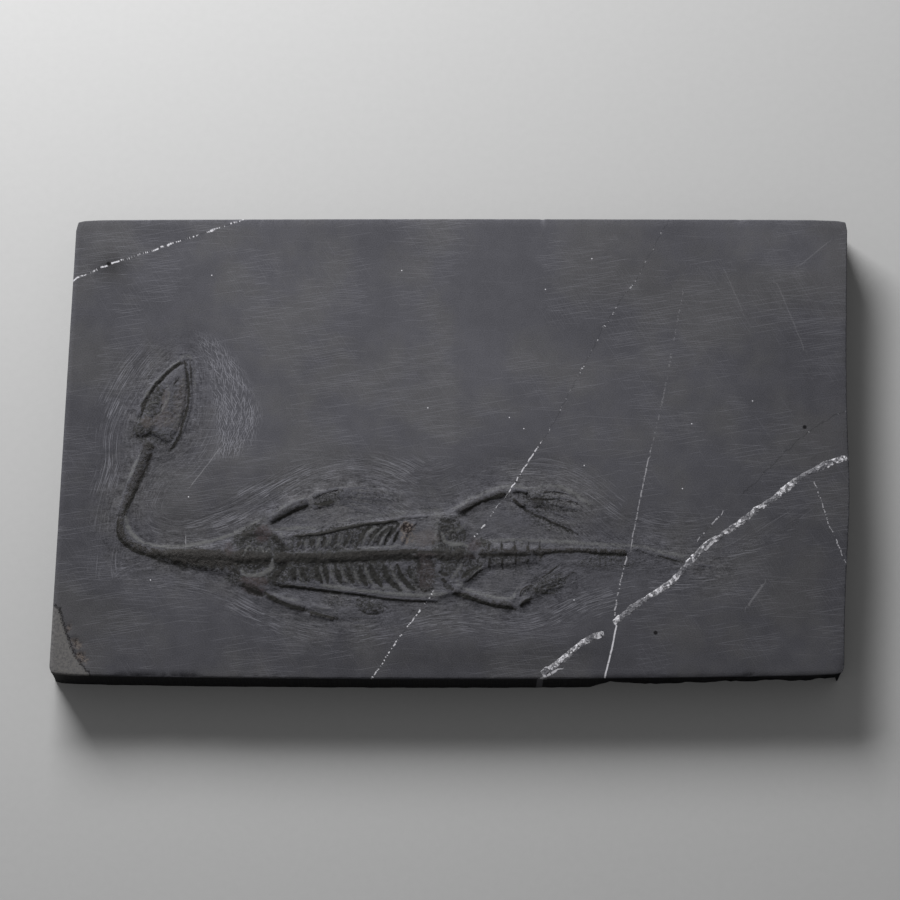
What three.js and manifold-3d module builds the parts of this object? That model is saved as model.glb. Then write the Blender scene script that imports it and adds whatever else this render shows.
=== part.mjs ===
// Fossil keichousaurus skeleton in a sawn slab of dark shale, lying face up.
// Units are millimetres. The origin is the middle of the slab's underside. +X runs along the slab,
// from the animal's head to its tail, +Y runs from the front edge to the back edge, and +Z is up.
// "Upper" bones lie on the back edge's side of the spine, and "lower" bones on the front edge's side.

import * as THREE from 'three';
import { mergeVertices } from 'three/addons/utils/BufferGeometryUtils.js';
import Module from 'manifold-3d';

const wasm = await Module();
wasm.setup();

// Slab
const SLAB_LENGTH = 250;
const SLAB_WIDTH = 152;
const SLAB_THICKNESS = 15;
const SLAB_LEAN = 5;
const FRONT_BOW = 1.3;
const BACK_BOW = 0.4;
const RIGHT_BULGE = { out: 1.3, y: -18, reach: 25 };
const CORNER_CUT = 0.7;
const EDGE_CHAMFER = 0.4;
const BREAK_START_X = 45;
const BREAK_UNDERCUT = 2.6;
const SAW_UNDERCUT = 0.25;
const CHIPPED_EDGE = { from: -106, to: -80, depth: 0.9 };

// The hollow that was scraped around the bones, down to a flat floor
const HOLLOW_DEPTH = 1;
const FLOOR = SLAB_THICKNESS - HOLLOW_DEPTH;
const HOLLOW_AT_BODY = { margin: 9.3, slope: 8 };
const HOLLOW_AT_TAIL = { margin: 5, slope: 6 };
const TAIL_NARROWING = { from: 56, to: 64 };

// Calcite veins
const VEIN_WIDTH = 2.1;
const VEIN_DEPTH = 2;
const VEIN_PROUD = 0.25;
const VEIN_STEP = 4.5;
const JOINT_GAP = 0.3;

// Skeleton
const SKULL_HEIGHT = 2;
const JAW_HEIGHT = 1.2;
const NECK_HEIGHT = 1.8;
const SPINE_HEIGHT = 2.4;
const RIB_WIDTH = 1.5;
const RIB_HEIGHT = 1.2;
const GASTRALIA_WIDTH = 1.2;
const GASTRALIA_HEIGHT = 1;
const GASTRALIA_STEPS = 7;
const GIRDLE_HEIGHT = 1.4;
const UPPER_LIMB_HEIGHT = 1.9;
const LOWER_LIMB_HEIGHT = 1.4;
const DIGIT_WIDTH = 1.1;
const DIGIT_HEIGHT = 0.8;

const SHALE = { color: 0x525156, roughness: 0.82, metalness: 0 };
const BONE = { color: 0x2c2826, roughness: 0.5, metalness: 0 };
const CALCITE = { color: 0xb9b8be, roughness: 0.6, metalness: 0 };

// Points on the floor are [x, y]. Sections are [across, up], as shares of a width and a height.
const ROUND_SECTION = [[-0.5, 0], [-0.38, 0.7], [0, 1], [0.38, 0.7], [0.5, 0]];
const FLAT_SECTION = [[-0.5, 0], [-0.3, 1], [0.3, 1], [0.5, 0]];
const RIDGED_SECTION = [[-0.5, 0], [-0.4, 0.5], [0, 1], [0.4, 0.5], [0.5, 0]];

const NECK = {
  neck_front: {
    route: [[-97.4, 1.2], [-99.5, -5], [-102.4, -13], [-104.6, -19], [-105.6, -23.4]],
    widths: [3.2, 3.4, 3.4, 2.8, 1.8],
    vertebrae: 9,
  },
  neck_bend: {
    route: [[-105.8, -24.1], [-106.2, -27.5], [-104.8, -30.6], [-101.6, -33.1], [-98.2, -34.7]],
    widths: [1.7, 2, 2.4, 2.6, 2.8],
    vertebrae: 5,
  },
  neck_base: {
    route: [[-97.5, -34.9], [-90, -35.8], [-80, -36.2], [-70, -36.6], [-58.4, -37]],
    widths: [2.8, 3.4, 4.2, 4.4, 4.2],
    vertebrae: 13,
  },
};
const TRUNK_ROUTE = [[-57.8, -37.1], [-50, -37], [-40, -36.9], [-30, -36.2], [-20, -35.6], [-10, -35.5],
  [0, -35.7], [6.6, -35.5]];
const TRUNK_WIDTHS = [4.2, 4.4, 4.4, 4.4, 4.4, 4.2, 4, 3.6];
const TRUNK_VERTEBRAE = 19;
const TAIL_ROUTE = [[7.3, -35.4], [16, -35.2], [25, -35], [32, -34.5], [40, -34.4], [48, -34.8],
  [54.8, -35.2]];
const TAIL_WIDTHS = [3.6, 3.4, 3, 2.5, 2.3, 2.5, 2.6];
const TAIL_VERTEBRAE = 15;
const TAIL_REAR_ROUTE = [[56, -34.4], [58.4, -33.9], [61, -35.1], [66, -36.4], [71, -37.6]];
const TAIL_TIP_ROUTE = [[77, -39.2], [80, -39.6], [83.4, -39.9]];

// Belly ribs, which show as one dark line along each flank
const GASTRALIA = {
  gastralia_upper: [[-52.4, -29.6], [-46, -29.5], [-40, -28.6], [-34, -27], [-28, -25.9], [-22, -25.4],
    [-16, -23.9], [-8, -23.4]],
  gastralia_lower: [[-55.6, -46], [-50, -46.1], [-44, -47.1], [-38, -47.7], [-30, -48.5], [-22, -50],
    [-14, -50.6], [-5, -50.8]],
};

// Ribs: where each leaves the spine, how far the first and last lean back, and the gap to the belly ribs
const UPPER_RIBS = {
  roots: [-49, -45, -41, -37.4, -33.8, -30.2, -26.6, -23.2, -20.2, -17], lean: [0.8, 5], flankGap: 1.5,
};
const LOWER_RIBS = {
  roots: [-52, -48, -44, -40.7, -37.3, -33.6, -29.9, -26, -22.2, -17.8], lean: [1.6, 5], flankGap: 2.3,
};
const RIB_ROOT_FROM_SPINE = 2.7;

const SKULL_OUTLINE = [[-87, 26.6], [-90.6, 24.2], [-93.6, 20.9], [-96.7, 17], [-98.4, 12.8], [-99.9, 8.6],
  [-102.2, 4.8], [-100.8, 2.4], [-98.6, 3.5], [-96, 4], [-93.4, 1.8], [-91.2, 0.6], [-89.5, 3.2],
  [-87.7, 8.2], [-86.4, 13.6], [-86.2, 19.4], [-86.2, 24.2]];
const SKULL_MIDDLE = [-92.4, 13.4];
const SKULL_PITS = [
  { at: [-95.4, 17], size: [3.4, 4.4], turn: -0.5, depth: 1 },
  { at: [-88.6, 15.4], size: [2.6, 3.6], turn: 0.1, depth: 0.7 },
  { at: [-96.4, 11.6], size: [2.6, 4], turn: -0.4, depth: 0.8 },
  { at: [-90.2, 8.6], size: [2, 4.2], turn: -0.35, depth: 0.6 },
  { at: [-89.3, 21], size: [1.1, 3], turn: -0.65, depth: 0.7 },
];
const LEFT_JAW = [[-88.1, 27.7], [-91.4, 25.3], [-94.7, 21.9], [-98, 17.7], [-99.8, 13.2], [-101.2, 9.4]];
const RIGHT_JAW = [[-85.6, 27.8], [-84.9, 24.5], [-84.8, 19.5], [-85, 13.6], [-86.4, 7.9], [-88.2, 2.9],
  [-90.2, -1]];
const UPPER_SCAPULA = [[-68.4, -30.6], [-65, -29], [-61.5, -28.5], [-58.3, -28.9], [-55.8, -30.8],
  [-54.2, -33]];
const LOWER_SCAPULA = [[-68.2, -44.6], [-65, -45.3], [-61.8, -45.4], [-59, -44.5], [-56.6, -42.6],
  [-54.9, -41]];

// A long bone's route, its widths along it and its height
const LONG_BONES = {
  lower_jaw_left: [LEFT_JAW, [1.2, 1.5, 1.5, 1.3, 1.5, 1.8], JAW_HEIGHT],
  lower_jaw_right: [RIGHT_JAW, [1.2, 1.6, 1.6, 1.6, 1.8, 1.6, 1.5], JAW_HEIGHT],
  scapula_upper: [UPPER_SCAPULA, [2.4, 3, 3, 2.8, 2.4, 1.8], GIRDLE_HEIGHT],
  scapula_lower: [LOWER_SCAPULA, [2.2, 3.2, 3.4, 2.8, 2.4, 1.8], GIRDLE_HEIGHT],
  humerus_upper: [[[-58.8, -24.9], [-55, -22.4], [-51, -20.2], [-46.6, -18.6]],
    [2.4, 3, 3.6, 3.4], UPPER_LIMB_HEIGHT],
  radius_upper: [[[-45.2, -17.2], [-42, -15.9], [-38.8, -14.7], [-36.8, -14.2]],
    [1.6, 1.2, 1.2, 1.5], LOWER_LIMB_HEIGHT],
  ulna_upper: [[[-45.2, -20.3], [-41.5, -19.6], [-38.4, -18.7]], [2.4, 1.8, 2], LOWER_LIMB_HEIGHT],
  humerus_lower: [[[-60, -48.3], [-56, -50.4], [-51.5, -52.2], [-47.2, -53.4]],
    [2.2, 2.6, 3, 3.2], UPPER_LIMB_HEIGHT],
  radius_lower: [[[-45.6, -52.4], [-42, -53], [-38.4, -54]], [1.5, 1.2, 1.4], LOWER_LIMB_HEIGHT],
  ulna_lower: [[[-45.8, -54.9], [-41.5, -55.9], [-37.8, -56.7]], [1.9, 1.5, 1.7], LOWER_LIMB_HEIGHT],
  femur_upper: [[[0.4, -22], [4, -20.2], [8.2, -18.1], [12.4, -16.6], [16.4, -15.6]],
    [2.6, 2.4, 2.2, 2.4, 3], UPPER_LIMB_HEIGHT],
  tibia_upper: [[[18.2, -15], [20.8, -14.9], [23.4, -15.6]], [2, 1.5, 1.8], LOWER_LIMB_HEIGHT],
  fibula_upper: [[[18.4, -17.6], [20.2, -19.2], [22.8, -19.8]], [1.7, 1.4, 1.7], LOWER_LIMB_HEIGHT],
  femur_lower: [[[-0.4, -47.8], [4, -49.2], [8.4, -50.7], [13, -51.9], [18.4, -52.4]],
    [2.8, 2.4, 2.2, 2.6, 3.2], UPPER_LIMB_HEIGHT],
  tibia_lower: [[[20.4, -52.2], [22.2, -51], [24, -50.2]], [2, 1.6, 1.7], LOWER_LIMB_HEIGHT],
  fibula_lower: [[[20.4, -49.4], [21.6, -47.4], [23.4, -46.1]], [1.6, 1.4, 1.6], LOWER_LIMB_HEIGHT],
};

const PLATES = {
  coracoid_upper: [[-66.2, -34], [-65.2, -32.2], [-62.6, -31.1], [-59.6, -31], [-57.2, -32.2],
    [-56.8, -34.2], [-59.6, -34.5], [-63, -34.2]],
  coracoid_lower: [[-66.5, -40], [-63.4, -39.7], [-58.2, -39.7], [-58.8, -41.2], [-61.6, -42.6],
    [-65, -42.2]],
  pubis_upper: [[-5.6, -27.4], [-4.6, -24.9], [-2.2, -24.2], [-0.7, -26], [-0.8, -29], [-1.9, -31.2],
    [-4, -31.6], [-5.5, -30]],
  ischium_upper: [[0.4, -25.4], [2.7, -24.8], [3.9, -27], [3.8, -29.8], [2.4, -31.4], [0.7, -31],
    [0, -28.4]],
  pubis_lower: [[-6, -40], [-3.6, -38.8], [-1.6, -39.6], [-1.2, -42], [-1.9, -44.4], [-3.8, -45.2],
    [-5.7, -43.8], [-6.4, -41.8]],
  ischium_lower: [[0.2, -42.8], [3.6, -40.9], [7.4, -39.1], [9.2, -39.2], [7.8, -41.5], [5.5, -43.9],
    [3.6, -45.4], [1.2, -44.6]],
};

// Each hand and foot is a wrist or ankle plate and five digits that grow from it
const HANDS_AND_FEET = {
  hand_upper: {
    palm: [[-35.9, -14], [-34.2, -13.8], [-32.9, -15.2], [-32.7, -17.4], [-33.8, -19.3], [-36, -19.8],
      [-37, -17.6], [-36.9, -15.8]],
    digits: [
      [[-34.5, -14.6], [-30, -14], [-25.5, -14.4], [-22.5, -15]],
      [[-33.8, -15.8], [-29, -15.7], [-24, -16.2], [-20.5, -17]],
      [[-33.8, -17], [-28.5, -17.4], [-23, -18], [-19.5, -19]],
      [[-34.2, -18.2], [-29, -19.2], [-24.5, -20], [-21.5, -20.8]],
      [[-35.2, -19], [-31.5, -20.8], [-28, -21.9]],
    ],
  },
  hand_lower: {
    palm: [[-36.6, -53.6], [-34.6, -52.8], [-33, -53.4], [-32.7, -55.4], [-33.9, -56.9], [-35.9, -57.2],
      [-36.7, -55.6]],
    digits: [
      [[-34.3, -53.6], [-30.5, -51.8], [-26.8, -51]],
      [[-33.7, -54.2], [-29, -53.1], [-24.8, -52.4], [-22.6, -52.2]],
      [[-33.6, -55], [-28.8, -54.6], [-24.5, -54.2], [-21.8, -53.8]],
      [[-33.9, -55.9], [-29.5, -56.2], [-25.2, -56], [-22.8, -55.6]],
      [[-34.8, -56.5], [-31.4, -57.8], [-28, -58]],
    ],
  },
  foot_upper: {
    palm: [[24.4, -16.6], [26, -15.8], [27.7, -16.7], [28, -18.6], [26.8, -20.2], [24.8, -20.5],
      [24.1, -18.6]],
    digits: [
      [[26, -16.7], [29.5, -15.1], [33, -15.3], [36.5, -16.1]],
      [[26.8, -17.6], [31, -17.5], [35, -17.4], [39.2, -18.9]],
      [[27, -18.6], [31, -19.4], [35.5, -20.3], [40, -21.2]],
      [[26.6, -19.4], [30, -21.4], [34, -23], [38.6, -24.6]],
      [[25.2, -19.8], [28, -23.2], [31.6, -25.3], [35.2, -26.8], [39.6, -29]],
    ],
  },
  foot_lower: {
    palm: [[25, -46], [26.6, -45.4], [28.1, -46.6], [28, -48.4], [26.4, -49.4], [25, -48.8], [24.6, -47.4]],
    digits: [
      [[25.8, -46.4], [28, -43.8], [30.6, -41.4], [34, -38.4]],
      [[26.8, -46.4], [30, -45], [34, -43.5], [38.2, -41.2]],
      [[27.2, -47.2], [31, -46.8], [35, -45.8], [38.4, -44.6]],
      [[27, -48.1], [31, -48.5], [35, -48.2]],
      [[26.2, -48.7], [29, -50.2], [32, -50.8]],
    ],
  },
};

const CERVICAL_RIBS = {
  from: -89.5, to: -69.5, count: 8, width: 1.1, height: 0.9, lean: 1.5, lengths: [1.8, 4.4],
};
const SACRAL_RIBS = { places: [-2.6, 1, 4.6], width: 1.4, height: 1.2, reach: [2.9, 2.7] };
const CAUDAL_RIBS = { places: [11, 15, 19.3, 23, 27], width: 1.3, height: 1, reach: [3.4, 5], shrink: 0.07 };

const FRONT_VEIN = [[27.2, -74.7], [31.6, -71.6], [36.6, -67.6], [39.6, -64.9], [43.6, -62.6],
  [47.3, -61.4]];
const BACK_VEIN = [[50, -58.2], [53.6, -55.3], [58.6, -51.6], [64.6, -47.4], [68.8, -44.9], [72.6, -40.4],
  [75.6, -37], [79.6, -33], [84.6, -29.6], [90.6, -25.6], [95.6, -21.6], [101.6, -17.6], [108.6, -11.8],
  [112.6, -9.3], [118.6, -6.3], [125.2, -4]];

// Small helpers

const lerp = THREE.MathUtils.lerp;

// A repeatable value from -1 to 1, for uneven rock
const unevenness = (seed) => Math.sin(seed * 12.9898) * Math.cos(seed * 4.1414);

function valueAlong(values, share) {
  const place = share * (values.length - 1);
  const before = Math.min(Math.floor(place), values.length - 2);
  return lerp(values[before], values[before + 1], place - before);
}

function routeThrough(points, isClosed = false) {
  const corners = points.map(([x, y]) => new THREE.Vector3(x, y, 0));
  return new THREE.CatmullRomCurve3(corners, isClosed, 'centripetal');
}

function heightOfRouteAt(points, x) {
  const next = Math.min(points.length - 1, Math.max(1, points.findIndex(([px]) => px >= x)));
  const [x0, y0] = points[next - 1];
  const [x1, y1] = points[next];
  return lerp(y0, y1, (x - x0) / (x1 - x0));
}

function geometryFrom(positions, triangles) {
  const geometry = new THREE.BufferGeometry();
  geometry.setAttribute('position', new THREE.Float32BufferAttribute(positions, 3));
  geometry.setIndex(triangles);
  return geometry;
}

function solidFrom(geometry) {
  const bare = geometry.clone();
  bare.deleteAttribute('normal');
  bare.deleteAttribute('uv');
  const merged = mergeVertices(bare);
  const vertProperties = new Float32Array(merged.attributes.position.array);
  const triVerts = new Uint32Array(merged.index.array);
  return new wasm.Manifold(new wasm.Mesh({ numProp: 3, vertProperties, triVerts }));
}

function geometryOf(solid) {
  const mesh = solid.getMesh();
  return geometryFrom(Array.from(mesh.vertProperties), Array.from(mesh.triVerts));
}

function fuse(geometries) {
  return geometryOf(geometries.map(solidFrom).reduce((whole, piece) => whole.add(piece)));
}

// Swept bodies

// Joins rings of equal size into a closed body. Each ring runs from its right side, over, to its left.
function skinRings(rings) {
  const positions = rings.flat(2);
  const corners = rings[0].length;
  const triangles = [];
  for (let ring = 0; ring + 1 < rings.length; ring += 1) {
    for (let corner = 0; corner < corners; corner += 1) {
      const next = (corner + 1) % corners;
      const near = ring * corners;
      const far = near + corners;
      triangles.push(near + corner, far + next, near + next);
      triangles.push(near + corner, far + corner, far + next);
    }
  }
  const last = (rings.length - 1) * corners;
  for (let corner = 1; corner + 1 < corners; corner += 1) {
    triangles.push(0, corner, corner + 1);
    triangles.push(last, last + corner + 1, last + corner);
  }
  return geometryFrom(positions, triangles);
}

// A body that lies on the floor along a route. A station is [share of the route, width, height].
function sweepOnFloor(points, stations, section) {
  const route = routeThrough(points);
  const rings = stations.map(([share, width, height]) => {
    const place = route.getPointAt(share);
    const ahead = route.getTangentAt(share);
    return section.map(([across, up]) => [
      place.x - ahead.y * across * width,
      place.y + ahead.x * across * width,
      FLOOR + up * height,
    ]);
  });
  return skinRings(rings);
}

// A long bone with rounded ends
function longBone(points, widths, height, steps) {
  const END_SHARE = 0.07;
  const END_SIZE = 0.6;
  const stations = [[0, widths[0] * END_SIZE, height * END_SIZE]];
  for (let step = 0; step <= steps; step += 1) {
    const share = lerp(END_SHARE, 1 - END_SHARE, step / steps);
    stations.push([share, valueAlong(widths, share), height]);
  }
  stations.push([1, widths.at(-1) * END_SIZE, height * END_SIZE]);
  return sweepOnFloor(points, stations, ROUND_SECTION);
}

// A row of vertebrae: each swells to a ridged body and pinches in at the joints
function vertebraRow(points, widths, heights, count) {
  const PINCH_WIDTH = 0.74;
  const PINCH_HEIGHT = 0.62;
  const stations = [];
  for (let half = 0; half <= 2 * count; half += 1) {
    const share = half / (2 * count);
    const isJoint = half % 2 === 0;
    const width = valueAlong(widths, share) * (isJoint ? PINCH_WIDTH : 1);
    const height = valueAlong(heights, share) * (isJoint ? PINCH_HEIGHT : 1);
    stations.push([share, width, height]);
  }
  return sweepOnFloor(points, stations, RIDGED_SECTION);
}

// A digit: finger bones that swell at their joints
function digit(points) {
  const BONES = 2;
  const WAIST = 0.68;
  const stations = [];
  for (let half = 0; half <= 2 * BONES; half += 1) {
    const share = half / (2 * BONES);
    const taper = lerp(1, 0.62, share);
    const swell = half % 2 === 0 ? 1 : WAIST;
    stations.push([share, DIGIT_WIDTH * taper * swell, DIGIT_HEIGHT * taper]);
  }
  return sweepOnFloor(points, stations, FLAT_SECTION);
}

// A bar that stands out sideways from a row of vertebrae
function sideBar(from, to, width, height) {
  return sweepOnFloor([from, to], [[0, width, height], [1, width * 0.75, height * 0.7]], FLAT_SECTION);
}

// A flat bone that rises from its outline in shelves, each [share of the outline, share of the height]
function plate(outline, middle, height, corners, shelves) {
  const edge = routeThrough(outline, true);
  const rim = Array.from({ length: corners }, (_, corner) => edge.getPointAt(corner / corners));
  const [middleX, middleY] = middle;
  const positions = [];
  for (const [share, up] of shelves) {
    for (const { x, y } of rim) {
      positions.push(lerp(middleX, x, share), lerp(middleY, y, share), FLOOR + up * height);
    }
  }
  const underside = positions.length / 3;
  positions.push(middleX, middleY, FLOOR, middleX, middleY, FLOOR + height);
  const turnsLeft = THREE.ShapeUtils.area(rim) > 0;
  const triangles = [];
  const face = (a, b, c) => triangles.push(a, turnsLeft ? b : c, turnsLeft ? c : b);
  for (let corner = 0; corner < corners; corner += 1) {
    const next = (corner + 1) % corners;
    face(underside, next, corner);
    for (let shelf = 0; shelf + 1 < shelves.length; shelf += 1) {
      const low = shelf * corners;
      const high = low + corners;
      face(low + corner, low + next, high + next);
      face(low + corner, high + next, high + corner);
    }
    const top = (shelves.length - 1) * corners;
    face(top + corner, top + next, underside + 1);
  }
  return geometryFrom(positions, triangles);
}

function centreOf(outline) {
  const total = outline.reduce(([x, y], [px, py]) => [x + px, y + py], [0, 0]);
  return total.map((sum) => sum / outline.length);
}

// The skeleton

function skull() {
  const CORNERS = 24;
  const SHELVES = [[1, 0], [0.96, 0.55], [0.7, 0.85]];
  const dome = solidFrom(plate(SKULL_OUTLINE, SKULL_MIDDLE, SKULL_HEIGHT, CORNERS, SHELVES));
  const pitted = SKULL_PITS.reduce((whole, { at, size, turn, depth }) => {
    const bowl = new THREE.SphereGeometry(0.5, 6, 4);
    bowl.scale(size[0], size[1], 2 * depth);
    bowl.rotateZ(turn);
    bowl.translate(at[0], at[1], FLOOR + SKULL_HEIGHT * 0.9);
    return whole.subtract(solidFrom(bowl));
  }, dome);
  return geometryOf(pitted);
}

function neckBase() {
  const { route, widths, vertebrae } = NECK.neck_base;
  const column = vertebraRow(route, widths, [NECK_HEIGHT, SPINE_HEIGHT], vertebrae);
  const { from, to, count, width, height, lean, lengths } = CERVICAL_RIBS;
  const bars = Array.from({ length: count }, (_, bar) => {
    const share = bar / (count - 1);
    const x = lerp(from, to, share);
    const root = heightOfRouteAt(route, x) - NECK_HEIGHT / 2;
    return sideBar([x, root], [x + lean, root - lerp(...lengths, share)], width, height);
  });
  return fuse([column, ...bars]);
}

function trunkSpine() {
  const column = vertebraRow(TRUNK_ROUTE, TRUNK_WIDTHS, [SPINE_HEIGHT, SPINE_HEIGHT], TRUNK_VERTEBRAE);
  const { places, width, height, reach } = SACRAL_RIBS;
  const bars = places.flatMap((x) => {
    const y = heightOfRouteAt(TRUNK_ROUTE, x);
    return [y + reach[0], y - reach[1]].map((tip) => sideBar([x, y], [x, tip], width, height));
  });
  return fuse([column, ...bars]);
}

function tailFront() {
  const TAIL_HEIGHTS = [2, 1.8, 1.6, 1.5, 1.5];
  const column = vertebraRow(TAIL_ROUTE, TAIL_WIDTHS, TAIL_HEIGHTS, TAIL_VERTEBRAE);
  const { places, width, height, reach, shrink } = CAUDAL_RIBS;
  const bars = places.flatMap((x, bar) => {
    const y = heightOfRouteAt(TAIL_ROUTE, x);
    const [up, down] = reach.map((length) => length * (1 - shrink * bar));
    return [y + up, y - down].map((tip) => sideBar([x, y], [x, tip], width, height));
  });
  return fuse([column, ...bars]);
}

// Ribs start beside the spine and end short of the belly ribs at the flank. side is 1 above the spine.
function ribs({ roots, lean, flankGap }, gastralia, side) {
  const WIDTHS = [RIB_WIDTH, RIB_WIDTH, RIB_WIDTH * 0.7];
  return roots.map((x, number) => {
    const tipX = x + lerp(...lean, (number / (roots.length - 1)) ** 2);
    const rootY = heightOfRouteAt(TRUNK_ROUTE, x) + side * RIB_ROOT_FROM_SPINE;
    const tipY = heightOfRouteAt(gastralia, tipX) - side * flankGap;
    const bowed = [lerp(x, tipX, 0.35), lerp(rootY, tipY, 0.5)];
    return longBone([[x, rootY], bowed, [tipX, tipY]], WIDTHS, RIB_HEIGHT, 2);
  });
}

function handOrFoot({ palm, digits }) {
  const CORNERS = 8;
  const wrist = plate(palm, centreOf(palm), DIGIT_HEIGHT * 1.4, CORNERS, [[1, 0], [0.85, 0.8]]);
  return fuse([wrist, ...digits.map(digit)]);
}

function skeleton() {
  const GIRDLE_CORNERS = 12;
  const GIRDLE_SHELVES = [[1, 0], [0.88, 0.75], [0.45, 0.85]];
  const bones = { skull: skull() };
  for (const [name, { route, widths, vertebrae }] of Object.entries(NECK)) {
    bones[name] = vertebraRow(route, widths, [NECK_HEIGHT, NECK_HEIGHT], vertebrae);
  }
  bones.neck_base = neckBase();
  bones.trunk_spine = trunkSpine();
  bones.tail_front = tailFront();
  bones.tail_rear = vertebraRow(TAIL_REAR_ROUTE, [1.4, 1.8, 1.8, 1.6, 1.4], [1.2, 1], 6);
  bones.tail_tip = vertebraRow(TAIL_TIP_ROUTE, [1.3, 1.1, 0.7], [1, 0.7], 3);
  ribs(UPPER_RIBS, GASTRALIA.gastralia_upper, 1).forEach((rib, number) => {
    bones[`rib_upper_${number + 1}`] = rib;
  });
  ribs(LOWER_RIBS, GASTRALIA.gastralia_lower, -1).forEach((rib, number) => {
    bones[`rib_lower_${number + 1}`] = rib;
  });
  for (const [name, points] of Object.entries(GASTRALIA)) {
    bones[name] = longBone(points, [GASTRALIA_WIDTH, GASTRALIA_WIDTH], GASTRALIA_HEIGHT, GASTRALIA_STEPS);
  }
  for (const [name, [points, widths, height]] of Object.entries(LONG_BONES)) {
    bones[name] = longBone(points, widths, height, points.length - 1);
  }
  for (const [name, outline] of Object.entries(PLATES)) {
    bones[name] = plate(outline, centreOf(outline), GIRDLE_HEIGHT, GIRDLE_CORNERS, GIRDLE_SHELVES);
  }
  for (const [name, limbEnd] of Object.entries(HANDS_AND_FEET)) {
    bones[name] = handOrFoot(limbEnd);
  }
  return bones;
}

// The slab

// The surface of the rock: flat under and near the bones, then a slope up to the slab's face
function groundLevel(footprint) {
  return (x, y) => {
    let nearest = Infinity;
    for (let i = 0; i < footprint.length; i += 2) {
      nearest = Math.min(nearest, Math.hypot(footprint[i] - x, footprint[i + 1] - y));
    }
    const narrowing = THREE.MathUtils.smoothstep(x, TAIL_NARROWING.from, TAIL_NARROWING.to);
    const margin = lerp(HOLLOW_AT_BODY.margin, HOLLOW_AT_TAIL.margin, narrowing);
    const slope = lerp(HOLLOW_AT_BODY.slope, HOLLOW_AT_TAIL.slope, narrowing);
    return FLOOR + HOLLOW_DEPTH * THREE.MathUtils.smoothstep(nearest, margin, margin + slope);
  };
}

function footprintOf(bones) {
  return Object.values(bones).flatMap((bone) => {
    const corners = bone.attributes.position;
    return Array.from({ length: corners.count }, (_, i) => [corners.getX(i), corners.getY(i)]).flat();
  });
}

// Grid lines between stops. A stop is [place, number of cells up to the next stop].
function gridLines(stops) {
  const lines = [];
  stops.forEach(([place, cells], stop) => {
    for (let cell = 0; cell < cells; cell += 1) {
      lines.push(lerp(place, stops[stop + 1][0], cell / cells));
    }
  });
  lines.push(stops.at(-1)[0]);
  return lines;
}

// Where a grid line crossing falls on the slab: the slab leans, and its edges bow
function placeOnSlab(along, across) {
  const u = (2 * along) / SLAB_LENGTH;
  const v = (2 * across) / SLAB_WIDTH;
  const front = -SLAB_WIDTH / 2 + FRONT_BOW * u * u;
  const back = SLAB_WIDTH / 2 - BACK_BOW * u * u;
  const bulge = RIGHT_BULGE.out * Math.exp(-(((across - RIGHT_BULGE.y) / RIGHT_BULGE.reach) ** 2));
  const corner = Math.max(0, Math.abs(u) + Math.abs(v) - 1.97) / 0.03;
  const x = along + (SLAB_LEAN / 2) * v + bulge * Math.max(0, u) ** 12;
  const y = lerp(front, back, (v + 1) / 2);
  return [x - Math.sign(u) * corner * CORNER_CUT, y - Math.sign(v) * corner * CORNER_CUT];
}

// How far the slab's side stands back from its outline half way down: sawn, or broken on the front right
function undercut(x, isFront, seed) {
  if (isFront && x > BREAK_START_X) {
    return BREAK_UNDERCUT * (0.6 + 0.4 * unevenness(seed));
  }
  return SAW_UNDERCUT * (1 + unevenness(seed));
}

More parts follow.
